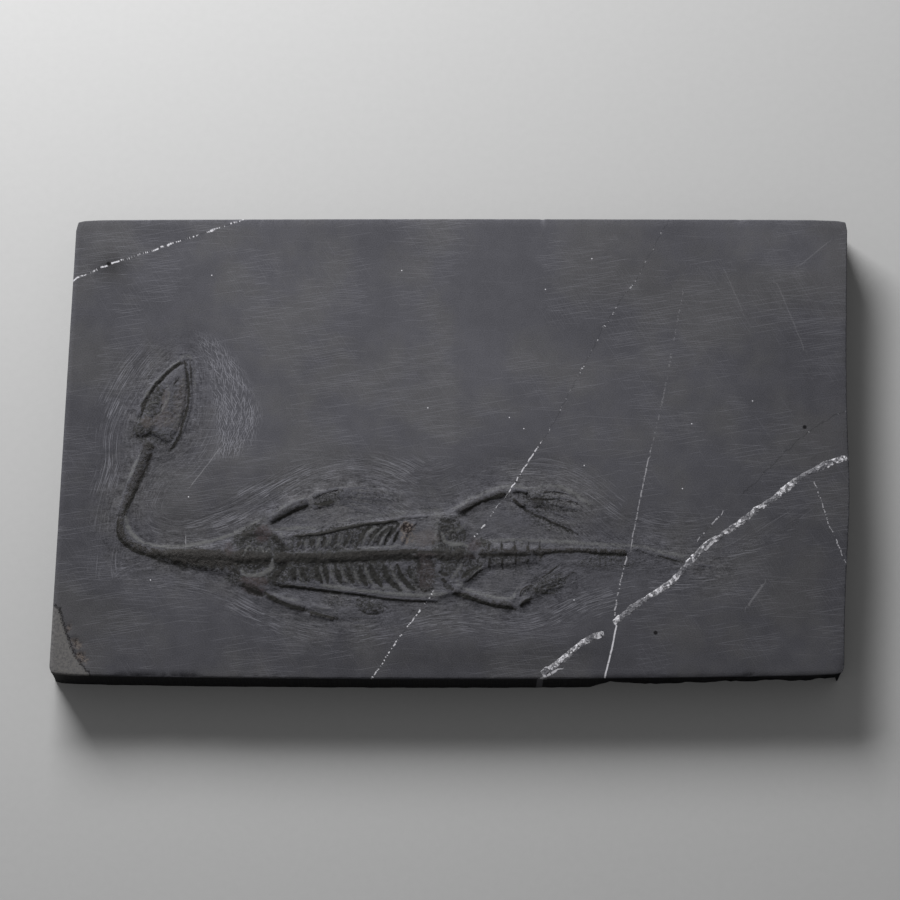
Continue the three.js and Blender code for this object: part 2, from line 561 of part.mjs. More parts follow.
function slabBlock(ground) {
  const columns = gridLines([[-125, 1], [-122.5, 27], [52, 10], [86, 4], [122.5, 1], [125, 0]]);
  const rows = gridLines([[-76, 1], [-73.5, 5], [-46, 5], [-30, 11], [40, 2], [73.5, 1], [76, 0]]);
  const positions = [];
  const triangles = [];
  const width = columns.length;
  for (const across of rows) {
    for (const along of columns) {
      const [x, y] = placeOnSlab(along, across);
      positions.push(x, y, ground(x, y));
    }
  }
  for (let row = 0; row + 1 < rows.length; row += 1) {
    for (let column = 0; column + 1 < width; column += 1) {
      const corner = row * width + column;
      triangles.push(corner, corner + 1, corner + width + 1);
      triangles.push(corner, corner + width + 1, corner + width);
    }
  }

  // The rim, anticlockwise from the front left corner
  const range = (count) => Array.from({ length: count }, (_, i) => i);
  const lastRow = rows.length - 1;
  const lastColumn = width - 1;
  const rim = [
    ...range(lastColumn),
    ...range(lastRow).map((row) => row * width + lastColumn),
    ...range(lastColumn).map((column) => lastRow * width + lastColumn - column),
    ...range(lastRow).map((row) => (lastRow - row) * width),
  ];
  const outline = rim.map((corner) => [positions[3 * corner], positions[3 * corner + 1]]);

  // The rim stands back by the chamfer, and dips where the front edge is chipped
  const outward = outline.map((point, i) => {
    const [x0, y0] = outline[(i + outline.length - 1) % outline.length];
    const [x1, y1] = outline[(i + 1) % outline.length];
    const length = Math.hypot(x1 - x0, y1 - y0);
    return [(y1 - y0) / length, (x0 - x1) / length];
  });
  rim.forEach((corner, i) => {
    const [x, y] = outline[i];
    const isChipped = outward[i][1] < -0.9 && x > CHIPPED_EDGE.from && x < CHIPPED_EDGE.to;
    const back = EDGE_CHAMFER + (isChipped ? CHIPPED_EDGE.depth * Math.abs(unevenness(i)) : 0);
    positions[3 * corner] = x - outward[i][0] * back;
    positions[3 * corner + 1] = y - outward[i][1] * back;
    positions[3 * corner + 2] -= isChipped ? CHIPPED_EDGE.depth / 2 : 0;
  });

  // The sides go down in levels, each [height, share of the undercut]
  const shoulder = SLAB_THICKNESS - EDGE_CHAMFER - CHIPPED_EDGE.depth;
  const levels = [[shoulder, 0], [SLAB_THICKNESS / 2, 1], [0, 0.5]];
  let above = rim;
  for (const [z, share] of levels) {
    const first = positions.length / 3;
    outline.forEach(([x, y], i) => {
      const back = share * undercut(x, outward[i][1] < -0.9, i + z);
      positions.push(x - outward[i][0] * back, y - outward[i][1] * back, z);
    });
    const below = outline.map((_, i) => first + i);
    outline.forEach((_, i) => {
      const next = (i + 1) % outline.length;
      triangles.push(above[i], below[i], below[next]);
      triangles.push(above[i], below[next], above[next]);
    });
    above = below;
  }

  const underside = above.map((corner) => new THREE.Vector2(...positions.slice(3 * corner, 3 * corner + 2)));
  for (const [a, b, c] of THREE.ShapeUtils.triangulateShape(underside, [])) {
    triangles.push(above[a], above[c], above[b]);
  }
  return geometryFrom(positions, triangles);
}

// A vein is a strip that follows the ground. grow widens, deepens and lifts it, to cut its groove, and
// overrun lengthens it at its start and its end.
function veinStrip(points, ground, grow = 0, overrun = [0, 0]) {
  const route = routeThrough(points);
  const steps = Math.round(route.getLength() / VEIN_STEP);
  const rings = Array.from({ length: steps + 1 }, (_, step) => {
    const place = route.getPointAt(step / steps);
    const ahead = route.getTangentAt(step / steps);
    const further = step === 0 ? -overrun[0] : (step === steps ? overrun[1] : 0);
    const x = place.x + further * ahead.x;
    const y = place.y + further * ahead.y;
    const half = (VEIN_WIDTH / 2) * (1 + 0.25 * unevenness(step + points.length)) + grow;
    const top = ground(place.x, place.y) + (grow > 0 ? VEIN_DEPTH : VEIN_PROUD);
    const bottom = ground(place.x, place.y) - VEIN_DEPTH - grow;
    return [[-half, bottom], [-half, top], [half, top], [half, bottom]].map(([across, z]) => [
      x - ahead.y * across,
      y + ahead.x * across,
      z,
    ]);
  });
  return skinRings(rings);
}

// Assembly

const bones = skeleton();
const ground = groundLevel(footprintOf(bones));

// A groove runs on past the slab's edge, where its vein comes out
const PAST_EDGE = 4;
const veins = {
  calcite_vein_front: { points: FRONT_VEIN, overrun: [PAST_EDGE, JOINT_GAP] },
  calcite_vein_back: { points: BACK_VEIN, overrun: [JOINT_GAP, PAST_EDGE] },
};
const slabSolid = Object.values(veins).reduce(
  (whole, { points, overrun }) => whole.subtract(solidFrom(veinStrip(points, ground, JOINT_GAP, overrun))),
  solidFrom(slabBlock(ground)),
);

const part = new THREE.Group();

function addPiece(name, geometry, finish) {
  geometry.computeVertexNormals();
  const piece = new THREE.Mesh(geometry, new THREE.MeshStandardMaterial(finish));
  piece.name = name;
  part.add(piece);
}

addPiece('slab', geometryOf(slabSolid), SHALE);
for (const [name, { points }] of Object.entries(veins)) {
  addPiece(name, veinStrip(points, ground), CALCITE);
}
for (const [name, geometry] of Object.entries(bones)) {
  addPiece(name, geometry, BONE);
}

export default part;
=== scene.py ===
"""A fossil keichousaurus skeleton in its slab of dark shale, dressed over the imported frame.

Lengths are millimetres in the part's own frame, and a mesh is turned into metres when it is made. The
origin is the middle of the slab's underside, +X runs from the head to the tail, +Y to the back edge and
+Z up. The rock and the bones are height maps: the bones' outlines and heights come from the CAD solids,
and the rock rises to them in skirts. Points on the face are (x, y).
"""

import math

import bpy
import numpy as np
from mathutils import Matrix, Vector
from mathutils.bvhtree import BVHTree
from mathutils.kdtree import KDTree


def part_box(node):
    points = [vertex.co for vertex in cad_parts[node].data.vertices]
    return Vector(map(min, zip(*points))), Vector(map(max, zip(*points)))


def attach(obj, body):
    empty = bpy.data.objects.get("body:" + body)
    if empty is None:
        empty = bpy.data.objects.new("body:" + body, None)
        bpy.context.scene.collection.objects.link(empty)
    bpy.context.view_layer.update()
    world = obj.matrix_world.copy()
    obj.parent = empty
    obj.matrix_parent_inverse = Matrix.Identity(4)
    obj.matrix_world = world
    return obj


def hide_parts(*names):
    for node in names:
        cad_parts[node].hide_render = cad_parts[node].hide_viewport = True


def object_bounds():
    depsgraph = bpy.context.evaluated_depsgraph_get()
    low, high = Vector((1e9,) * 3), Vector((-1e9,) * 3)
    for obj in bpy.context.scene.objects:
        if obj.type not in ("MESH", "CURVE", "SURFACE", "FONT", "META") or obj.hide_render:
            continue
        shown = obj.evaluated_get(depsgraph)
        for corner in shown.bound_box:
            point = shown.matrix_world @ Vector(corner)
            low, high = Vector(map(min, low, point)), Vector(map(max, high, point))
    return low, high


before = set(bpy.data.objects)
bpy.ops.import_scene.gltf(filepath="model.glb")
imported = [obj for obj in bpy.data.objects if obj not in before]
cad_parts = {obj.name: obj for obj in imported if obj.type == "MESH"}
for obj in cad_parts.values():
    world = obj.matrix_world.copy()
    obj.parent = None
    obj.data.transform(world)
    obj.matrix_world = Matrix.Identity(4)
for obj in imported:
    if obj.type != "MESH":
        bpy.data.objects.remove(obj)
cad_bounds = [list(corner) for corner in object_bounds()]

MM = 0.001


def box_of(node):
    low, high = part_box(node)
    return np.array(low) / MM, np.array(high) / MM


SLAB_LOW, SLAB_HIGH = box_of("slab")
FACE = SLAB_HIGH[2]
FLOOR = box_of("skull")[0][2]
CAD_LOW, CAD_HIGH = (np.array(corner) / MM for corner in cad_bounds)
CEILING = CAD_HIGH[2] - 0.02
BONES = sorted(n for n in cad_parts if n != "slab" and not n.startswith("calcite"))
VEINS = ["calcite_vein_front", "calcite_vein_back"]

# The grid of the fields: its cell and its margin around the skeleton, and how high the rays that measure
# the solids start over the face
CELL = 0.25
GRID_MARGIN = 9
RAY_HEIGHT = 10

# The rock around the bones
HOLLOW_DEPTH = 0.6
HOLLOW_REACH = (4, 16)
LIGHT_FROM = Vector((-0.42, 0.91))
ROCK_SHARE = 0.38
SKIRT_REACH = 3.5
SKIRT_FALL_LIT = 0.42
SKIRT_FALL_SHADED = 1.1
SKIRT_SOFTNESS = 0.3
MOUND_HEIGHT = 0.55
MOUND_EDGE = (-0.9, 1.3)
NAPE_SHARE = 0.6
NAPE_EDGE = (-2, 2)
SWELL_HEIGHT = 0.15
SWELL_REACH = 2.2
FURROW_DEPTH = 0.04
GROOVE_DEPTH = 0.2
RIDGE_HEIGHT = 0.06
LUMP_HEIGHT = 0.13
WAVE_HEIGHT = 0.04

# The bones over the rock
BONE_RIM = 0.1
BONE_SHARE = 0.1
BONE_GRAIN = 0.1
BONE_SOFTNESS = 0.25
BONE_RAGGED = 0.65
BONE_SUNK = 0.8
COVERED_FROM = 0.15
# Painted highlight on slopes that face the light and painted shade on slopes turned from it: how soft the
# slopes are taken, how strong each is, and how much of the highlight is lost on the bones
SLOPE_SOFTNESS = 0.35
SLOPE_LIGHT = 0.22
SLOPE_SHADE = 0.28
SLOPE_LIGHT_LOST_ON_BONE = 0.7

# How far a bone's CAD shape is smoothed, where the photo shows no separate beads, and how many cells wider
# it is where it touches its neighbour
SOFTNESS = {"neck": 0.6, "trunk_spine": 0.6, "tail": 0.5, "skull": 0.4}
WIDENED = {"skull": 2, "lower_jaw": 1, "neck_front": 3, "neck_bend": 3, "neck_base": 2, "rib_lower": 1}

# How much of its height a bone keeps where it is crushed flat into the rock
FLATTENED = {
    "coracoid": 0.1, "scapula": 0.25, "hand": 0.16, "pubis": 0.15, "ischium": 0.2, "foot": 0.45,
    "radius_lower": 0.35, "ulna_lower": 0.45, "fibula_lower": 0.6, "rib_upper": 0.6, "rib_lower": 0.5,
    "neck": 0.62, "trunk_spine": 0.6, "tail_front": 0.75, "humerus": 0.52, "femur": 0.56,
    "radius_upper": 0.35, "ulna_upper": 0.5, "lower_jaw_right": 0.6,
}

# The outline of the body, where the rock between the bones stands higher
BODY_OUTLINE = [
    (-94, -34.6), (-84, -33.8), (-74, -32), (-68, -29.4), (-62, -26), (-57.6, -28.4), (-50, -29.4),
    (-40, -27.6), (-30, -25.4), (-18, -23.8), (-6, -22.4), (0, -22), (4.4, -26), (6.4, -31.4),
    (26, -33.4), (26, -38.6), (11, -40.2), (4, -45.4), (1, -48.6), (-6, -50.6), (-18, -50.2),
    (-30, -48.4), (-42, -47), (-54, -46), (-61, -48.6), (-66.6, -47.2), (-71, -43), (-80, -41),
    (-92, -38),
]

# The back of the head, where crushed bone joins the skull to the neck
NAPE_OUTLINE = [
    (-104.4, 9), (-99.6, 11), (-94, 5), (-88.6, 1), (-90, -3), (-94, -4.4), (-99, -4), (-101.6, 0),
    (-104, 4),
]

# Lines along the limbs and the neck's bend, where crushed bone and rock stand a little higher
LIMB_LINES = [
    [(-62, -26), (-54, -20.6), (-46, -17.4), (-38, -16), (-28, -15.6), (-18, -17)],
    [(-62, -48), (-54, -51.6), (-46, -54), (-38, -55.4), (-26, -53)],
    [(0, -23), (8, -18), (17, -14.8), (26, -17), (38, -20)],
    [(0, -47.6), (8, -50.4), (18, -52.4), (24, -48.6), (32, -44.4)],
    [(-103.6, -19), (-106, -25), (-105, -30)],
]
LIMB_MOUND_EDGE = (0.5, 3.4)
LIMB_MOUND_HEIGHT = 0.28

# The line that the scraping tool followed, round the skeleton from the tail over the back to the tail
SCRAPE_LINE = [
    (112, -14), (98, -22), (86, -31), (74, -33), (60, -31), (50, -26), (40, -16.6), (30, -12.5),
    (18, -12.5), (8, -16), (-4, -20.5), (-14, -20), (-20, -15.5), (-27, -12.5), (-37, -12), (-47, -15.5),
    (-60, -23), (-70, -28.5), (-85, -33), (-97, -31.5), (-103, -25), (-102.5, -17), (-98, -6), (-91, -3),
    (-86, 4), (-83.6, 14), (-83.6, 24), (-85, 29.5), (-89, 28.5), (-96, 21), (-101, 12), (-104.5, 3),
    (-103.5, -6), (-107.5, -17), (-109.5, -28), (-110.6, -40), (-111, -54), (-105, -44), (-98, -41),
    (-85, -42), (-70, -45.4), (-62, -50), (-50, -55.5), (-36, -59), (-24, -57), (-5, -53), (3, -52),
    (18, -55), (28, -53), (40, -46), (60, -42), (86, -41), (112, -34),
]

# Where the tool left long marks: middle, half sizes, turn in degrees, strength
LONG_MARKS = [
    ((-104, 19), (10, 19), -30, 0.95),
    ((-110, -12), (6, 25), 0, 1),
    ((-107, -40), (9, 8), 0, 0.7),
    ((-64, -19), (22, 6.4), 27, 1.3),
    ((-88, -27), (15, 4.6), 0, 0.9),
    ((-93, -10), (7, 14), -20, 0.5),
    ((-82, 2), (5, 18), -4, 0.6),
    ((-30, -9.5), (30, 6.6), 2, 1.1),
    ((-24, -19.6), (20, 3.4), 0, 1.2),
    ((2, -14), (14, 6), 22, 0.5),
    ((27, -9), (20, 5.4), 0, 0.85),
    ((46, -19), (12, 8), -40, 0.8),
    ((64, -26), (20, 7), 5, 0.65),
    ((97, -30), (20, 6), 30, 0.7),
    ((66, -43), (26, 6), 0, 0.9),
    ((36, -53), (24, 6.4), 14, 1),
    ((0, -57), (28, 6), 0, 1),
    ((-34, -60.6), (24, 4.6), -4, 0.95),
    ((-62, -54), (16, 5.4), -24, 1),
    ((-88, -45), (16, 5), -15, 0.7),
    ((-48, -49), (12, 3), -20, 0.5),
]
MARKS_FROM_BONE = (0.4, 2)
MARKS_FROM_LINE = (1.3, 2)

# The dense short strokes to the right of the head
FAN_OUTLINE = [
    (-84, 37.6), (-79, 36.5), (-74.8, 34.7), (-68.4, 26.4), (-64.4, 18.2), (-61.2, 10), (-62, 7),
    (-64.6, 0), (-69, -4), (-78, -5), (-76, 0), (-77, 8), (-78.6, 20), (-81, 30),
]
FAN_EDGE = (-1.5, 3)
FAN_ROUTE = [(-88, 46), (-80, 34), (-73, 22), (-70, 10), (-70.5, -8)]

# The lines in each: seed, half width, half length, slant
LONG_LINES = [(1.0, 0.14, 9.0, 0.02), (31.7, 0.12, 4.4, -0.05), (54.1, 0.11, 3.0, 0.08)]
FAN_LINES = [(53.1, 0.12, 2.4, 0.15), (78.3, 0.11, 1.6, -0.3), (95.9, 0.11, 1.2, 0.5)]

# Lines and spots that are lighter than the rock, partly paler rock and partly painted highlight along edges
# and slopes
# that face the light: points, width, strength
LIGHT_STROKES = {
    "skull margin": [
        ([(-99.6, 15.6), (-97.4, 18.8), (-95, 21.9), (-92, 25), (-89.4, 27.6), (-87.6, 28.8)], 0.75, 0.75),
        ([(-88.4, 29.2), (-86.6, 30.2), (-85, 30), (-84.2, 28.6)], 0.9, 0.8),
        ([(-84, 28), (-83.3, 24), (-83.2, 18), (-83.8, 12)], 0.7, 0.5),
    ],
    "skull roof": [
        ([(-91, 21.8), (-89.4, 23.6), (-87.4, 25.2)], 1.2, 0.3),
        ([(-87.3, 24), (-86.8, 20), (-86.8, 16)], 1.1, 0.5),
        ([(-92.6, 20.6), (-91.6, 19.2), (-91.4, 15.6), (-93, 12.4), (-94.6, 9.6)], 0.7, 0.7),
        ([(-88, 14), (-87.8, 10.6), (-88.6, 7), (-90.6, 5.6)], 1.7, 0.5),
        ([(-91, 8.8), (-92.6, 7.2)], 0.5, 0.9),
        ([(-98.4, 13.4), (-97, 14), (-95, 14.2)], 0.4, 0.8),
        ([(-99.4, 11), (-97.6, 10.6), (-96.8, 9.8)], 0.4, 0.6),
        ([(-98, 12.4), (-96.6, 12)], 0.8, 0.4),
        ([(-103.6, 4.9), (-102.8, 4.6)], 0.4, 1),
        ([(-90, 2.6), (-88.8, 4)], 0.8, 0.4),
    ],
    "neck": [
        ([(-100.3, -2.6), (-101.6, -5.6), (-103, -9.2), (-104.2, -12)], 0.75, 1),
        ([(-104.2, -12), (-105.6, -16.5), (-106.6, -20)], 0.5, 0.5),
        ([(-104.6, -23.6), (-103.8, -26.8), (-101.8, -29.8), (-98.6, -32)], 1, 1.2),
        ([(-98.6, -32), (-94, -33), (-89, -33.1), (-85, -32.7), (-80, -32), (-75, -30.8), (-70, -28.9),
          (-66, -26.8), (-62, -24.7)], 0.8, 1.1),
    ],
    "shoulder": [
        ([(-67.6, -41), (-66.4, -42.4), (-62.4, -42.8), (-59.4, -41.6), (-57.6, -39.6), (-57.8, -37.6)],
         1.1, 1.2),
        ([(-67.4, -36.6), (-66.4, -36), (-66, -34.6)], 0.5, 0.6),
        ([(-66.4, -34.6), (-65.6, -33.2), (-64.4, -33.2), (-63.8, -34.4)], 0.6, 0.9),
        ([(-62.8, -34.8), (-62, -33.4), (-61, -33.6), (-60.6, -35)], 0.7, 0.9),
        ([(-59.6, -35), (-58.6, -33.8), (-57.6, -35.4)], 0.6, 0.85),
        ([(-61.4, -33.8), (-59, -32.8)], 0.6, 0.6),
        ([(-55.6, -29.2), (-53.4, -31), (-51.4, -33.4)], 0.7, 0.6),
    ],
    "upper flank": [
        ([(-57, -27.6), (-52, -27.2), (-47, -27), (-44, -27.4)], 1, 0.9),
        ([(-55.4, -28.8), (-54.6, -29)], 0.4, 1),
        ([(-41, -25.8), (-34, -24.2), (-26, -23), (-20, -22.4), (-12, -21.6), (-4, -20.9)], 1, 0.5),
        ([(-50, -24), (-45, -24.4)], 0.7, 0.5),
    ],
    "above spine": [
        ([(-47, -34.2), (-40, -34.2)], 0.5, 0.5),
        ([(-30, -33.6), (-24, -33.6)], 0.7, 0.9),
        ([(-24, -33.8), (-19, -33.2), (-16.6, -32.4)], 0.6, 0.9),
        ([(-53, -35.4), (-40, -34.9), (-28, -34.5), (-18, -34.4)], 0.35, 0.5),
    ],
    "lower flank": [
        ([(-26, -46.4), (-18, -47), (-10, -47)], 1.1, 0.7),
        ([(-54, -45), (-48, -45.2), (-43, -45.8)], 0.6, 0.5),
        ([(-43, -45.8), (-36, -46.8), (-30, -47.4), (-24, -48.3), (-16, -48.9), (-8, -49.2), (-2, -48.4)],
         0.9, 1),
    ],
    "upper forelimb": [
        ([(-61.5, -24.6), (-58, -22.4), (-54, -20), (-50, -18), (-46, -16.3)], 0.8, 0.65),
        ([(-40, -17.2), (-37, -17.4)], 0.4, 0.6),
        ([(-33, -15.6), (-32, -17)], 0.5, 0.8),
        ([(-30.4, -16.4), (-30, -17.6)], 0.4, 0.8),
        ([(-26, -14.4), (-23, -14.4), (-21, -16), (-19.4, -16)], 0.5, 0.9),
        ([(-19.4, -16.6), (-18, -17.6), (-17, -18.8)], 0.6, 0.7),
        ([(-20, -12), (-18, -13.4), (-15.6, -16.6)], 0.4, 0.5),
    ],
    "lower forelimb": [
        ([(-57, -48.6), (-53, -50.4), (-49.4, -50.6)], 1.1, 0.6),
        ([(-46, -51), (-44, -52.6), (-41.4, -53.6), (-39.4, -53)], 0.6, 0.7),
        ([(-29, -51), (-26, -52)], 0.8, 0.3),
    ],
    "pelvis": [
        ([(-6.2, -23.6), (-5.2, -25), (-5.8, -28), (-6, -31), (-5.4, -33.6)], 0.7, 0.7),
        ([(-4, -29.3), (-3.3, -31.4), (-1.4, -32.6), (1.8, -32.4), (4, -33)], 1.1, 1.15),
        ([(-1.4, -28), (1.2, -28), (3.4, -26)], 0.8, 0.7),
        ([(-6, -22), (-4.6, -23.4)], 1.2, 0.8),
        ([(-2.6, -29), (-1.6, -30.4), (-0.6, -31.6)], 0.5, 0.6),
        ([(-0.8, -43.6), (0.8, -41.4), (2.4, -38.8)], 1, 0.9),
        ([(0.4, -44.2), (2, -45), (3.6, -45.8)], 0.6, 1),
        ([(5.4, -43), (7, -41.2), (9.4, -39.8)], 0.3, 0.9),
    ],
    "upper hindlimb": [
        ([(-1, -20.8), (2, -20), (5, -17.6), (9, -15.8), (13, -14.2), (17, -13.4), (22, -13.9),
          (26, -14), (30, -12.9), (34, -13.6), (37, -15), (40, -17), (43, -19.4)], 0.8, 0.8),
        ([(30, -12.9), (34, -13.6), (37, -15), (40, -17), (43, -19.4)], 1.1, 1.15),
        ([(22, -18), (23.4, -18.4)], 0.6, 0.9),
        ([(25, -15.4), (27.6, -15.2)], 0.4, 0.7),
        ([(26, -19.4), (31, -19.6)], 0.4, 0.5),
        ([(34, -20.6), (38, -20.9)], 0.4, 0.8),
        ([(29, -22.6), (31.6, -24)], 0.5, 0.8),
        ([(35, -25), (39, -26.6)], 0.5, 0.7),
    ],
    "lower hindlimb": [
        ([(0.6, -45.4), (4, -47.2), (8, -48.4), (12, -49.6), (16, -50.3), (18.6, -49.8), (19.6, -47.8)],
         0.9, 0.9),
        ([(21.8, -49.4), (22.8, -48.2)], 0.7, 1),
        ([(18.8, -48.6), (20.4, -46), (22.6, -44.4)], 0.9, 0.5),
        ([(27.4, -42.6), (31, -40.2)], 0.4, 0.4),
    ],
    "tail": [
        ([(11, -31.2), (20, -31), (30, -31.4), (38, -31.8), (46, -32.4), (55, -32.8)], 1, 0.85),
        ([(9, -31.8), (11, -31)], 0.6, 0.6),
        ([(33, -33.2), (42, -33.4), (50, -33.4), (55, -33.6)], 0.5, 0.5),
        ([(56.6, -32.8), (60, -33.2), (64, -34.4), (68, -35.4), (72, -36.2), (74, -36.6)], 1, 0.85),
        ([(75.6, -37.4), (79, -35.6), (83, -33.4), (90, -30.4)], 0.6, 0.4),
        *[([(x, -32), (x, -33.6)], 0.9, 0.5) for x in (13, 17, 21.4, 25.6)],
    ],
}

# The dark bands that the upper ribs leave, from the spine outwards
UPPER_RIB_BANDS = [
    [(-49.5, -33.4), (-49, -31)], [(-45.4, -33.4), (-44.6, -30.6)], [(-42, -33.4), (-41, -30)],
    [(-38.8, -33.4), (-37.4, -29.6)], [(-35, -33.4), (-33.4, -29.2)],
    [(-31, -33.2), (-29.6, -29), (-27, -27)], [(-27.6, -32.8), (-26, -29.4), (-23, -27)],
    [(-24.6, -32.6), (-23, -29), (-19.6, -26.6)], [(-22, -32.4), (-20.4, -29), (-17.6, -26)],
    [(-19, -31.6), (-18, -29)],
]

LOWER_RIB_BANDS = [
    [(-51.4, -41), (-50.4, -44)], [(-48.4, -40.4), (-47, -44)], [(-44, -39.8), (-43.4, -42), (-42, -45)],
    [(-41, -39.8), (-40.6, -42.6), (-40, -45)], [(-37.6, -39.6), (-37.2, -42), (-36, -45)],
    [(-34, -39.6), (-33.6, -42), (-32, -45)], [(-30, -40), (-29.4, -43), (-27.6, -46)],
    [(-26.4, -39.6), (-25.4, -43), (-23, -46.4)],
    [(-22.4, -39.6), (-21.4, -43), (-19.4, -45.6), (-17, -47.4)],
    [(-18, -39.6), (-17, -43), (-14.6, -46), (-12.6, -47.4)], [(-14.4, -40), (-13.6, -43)],
]
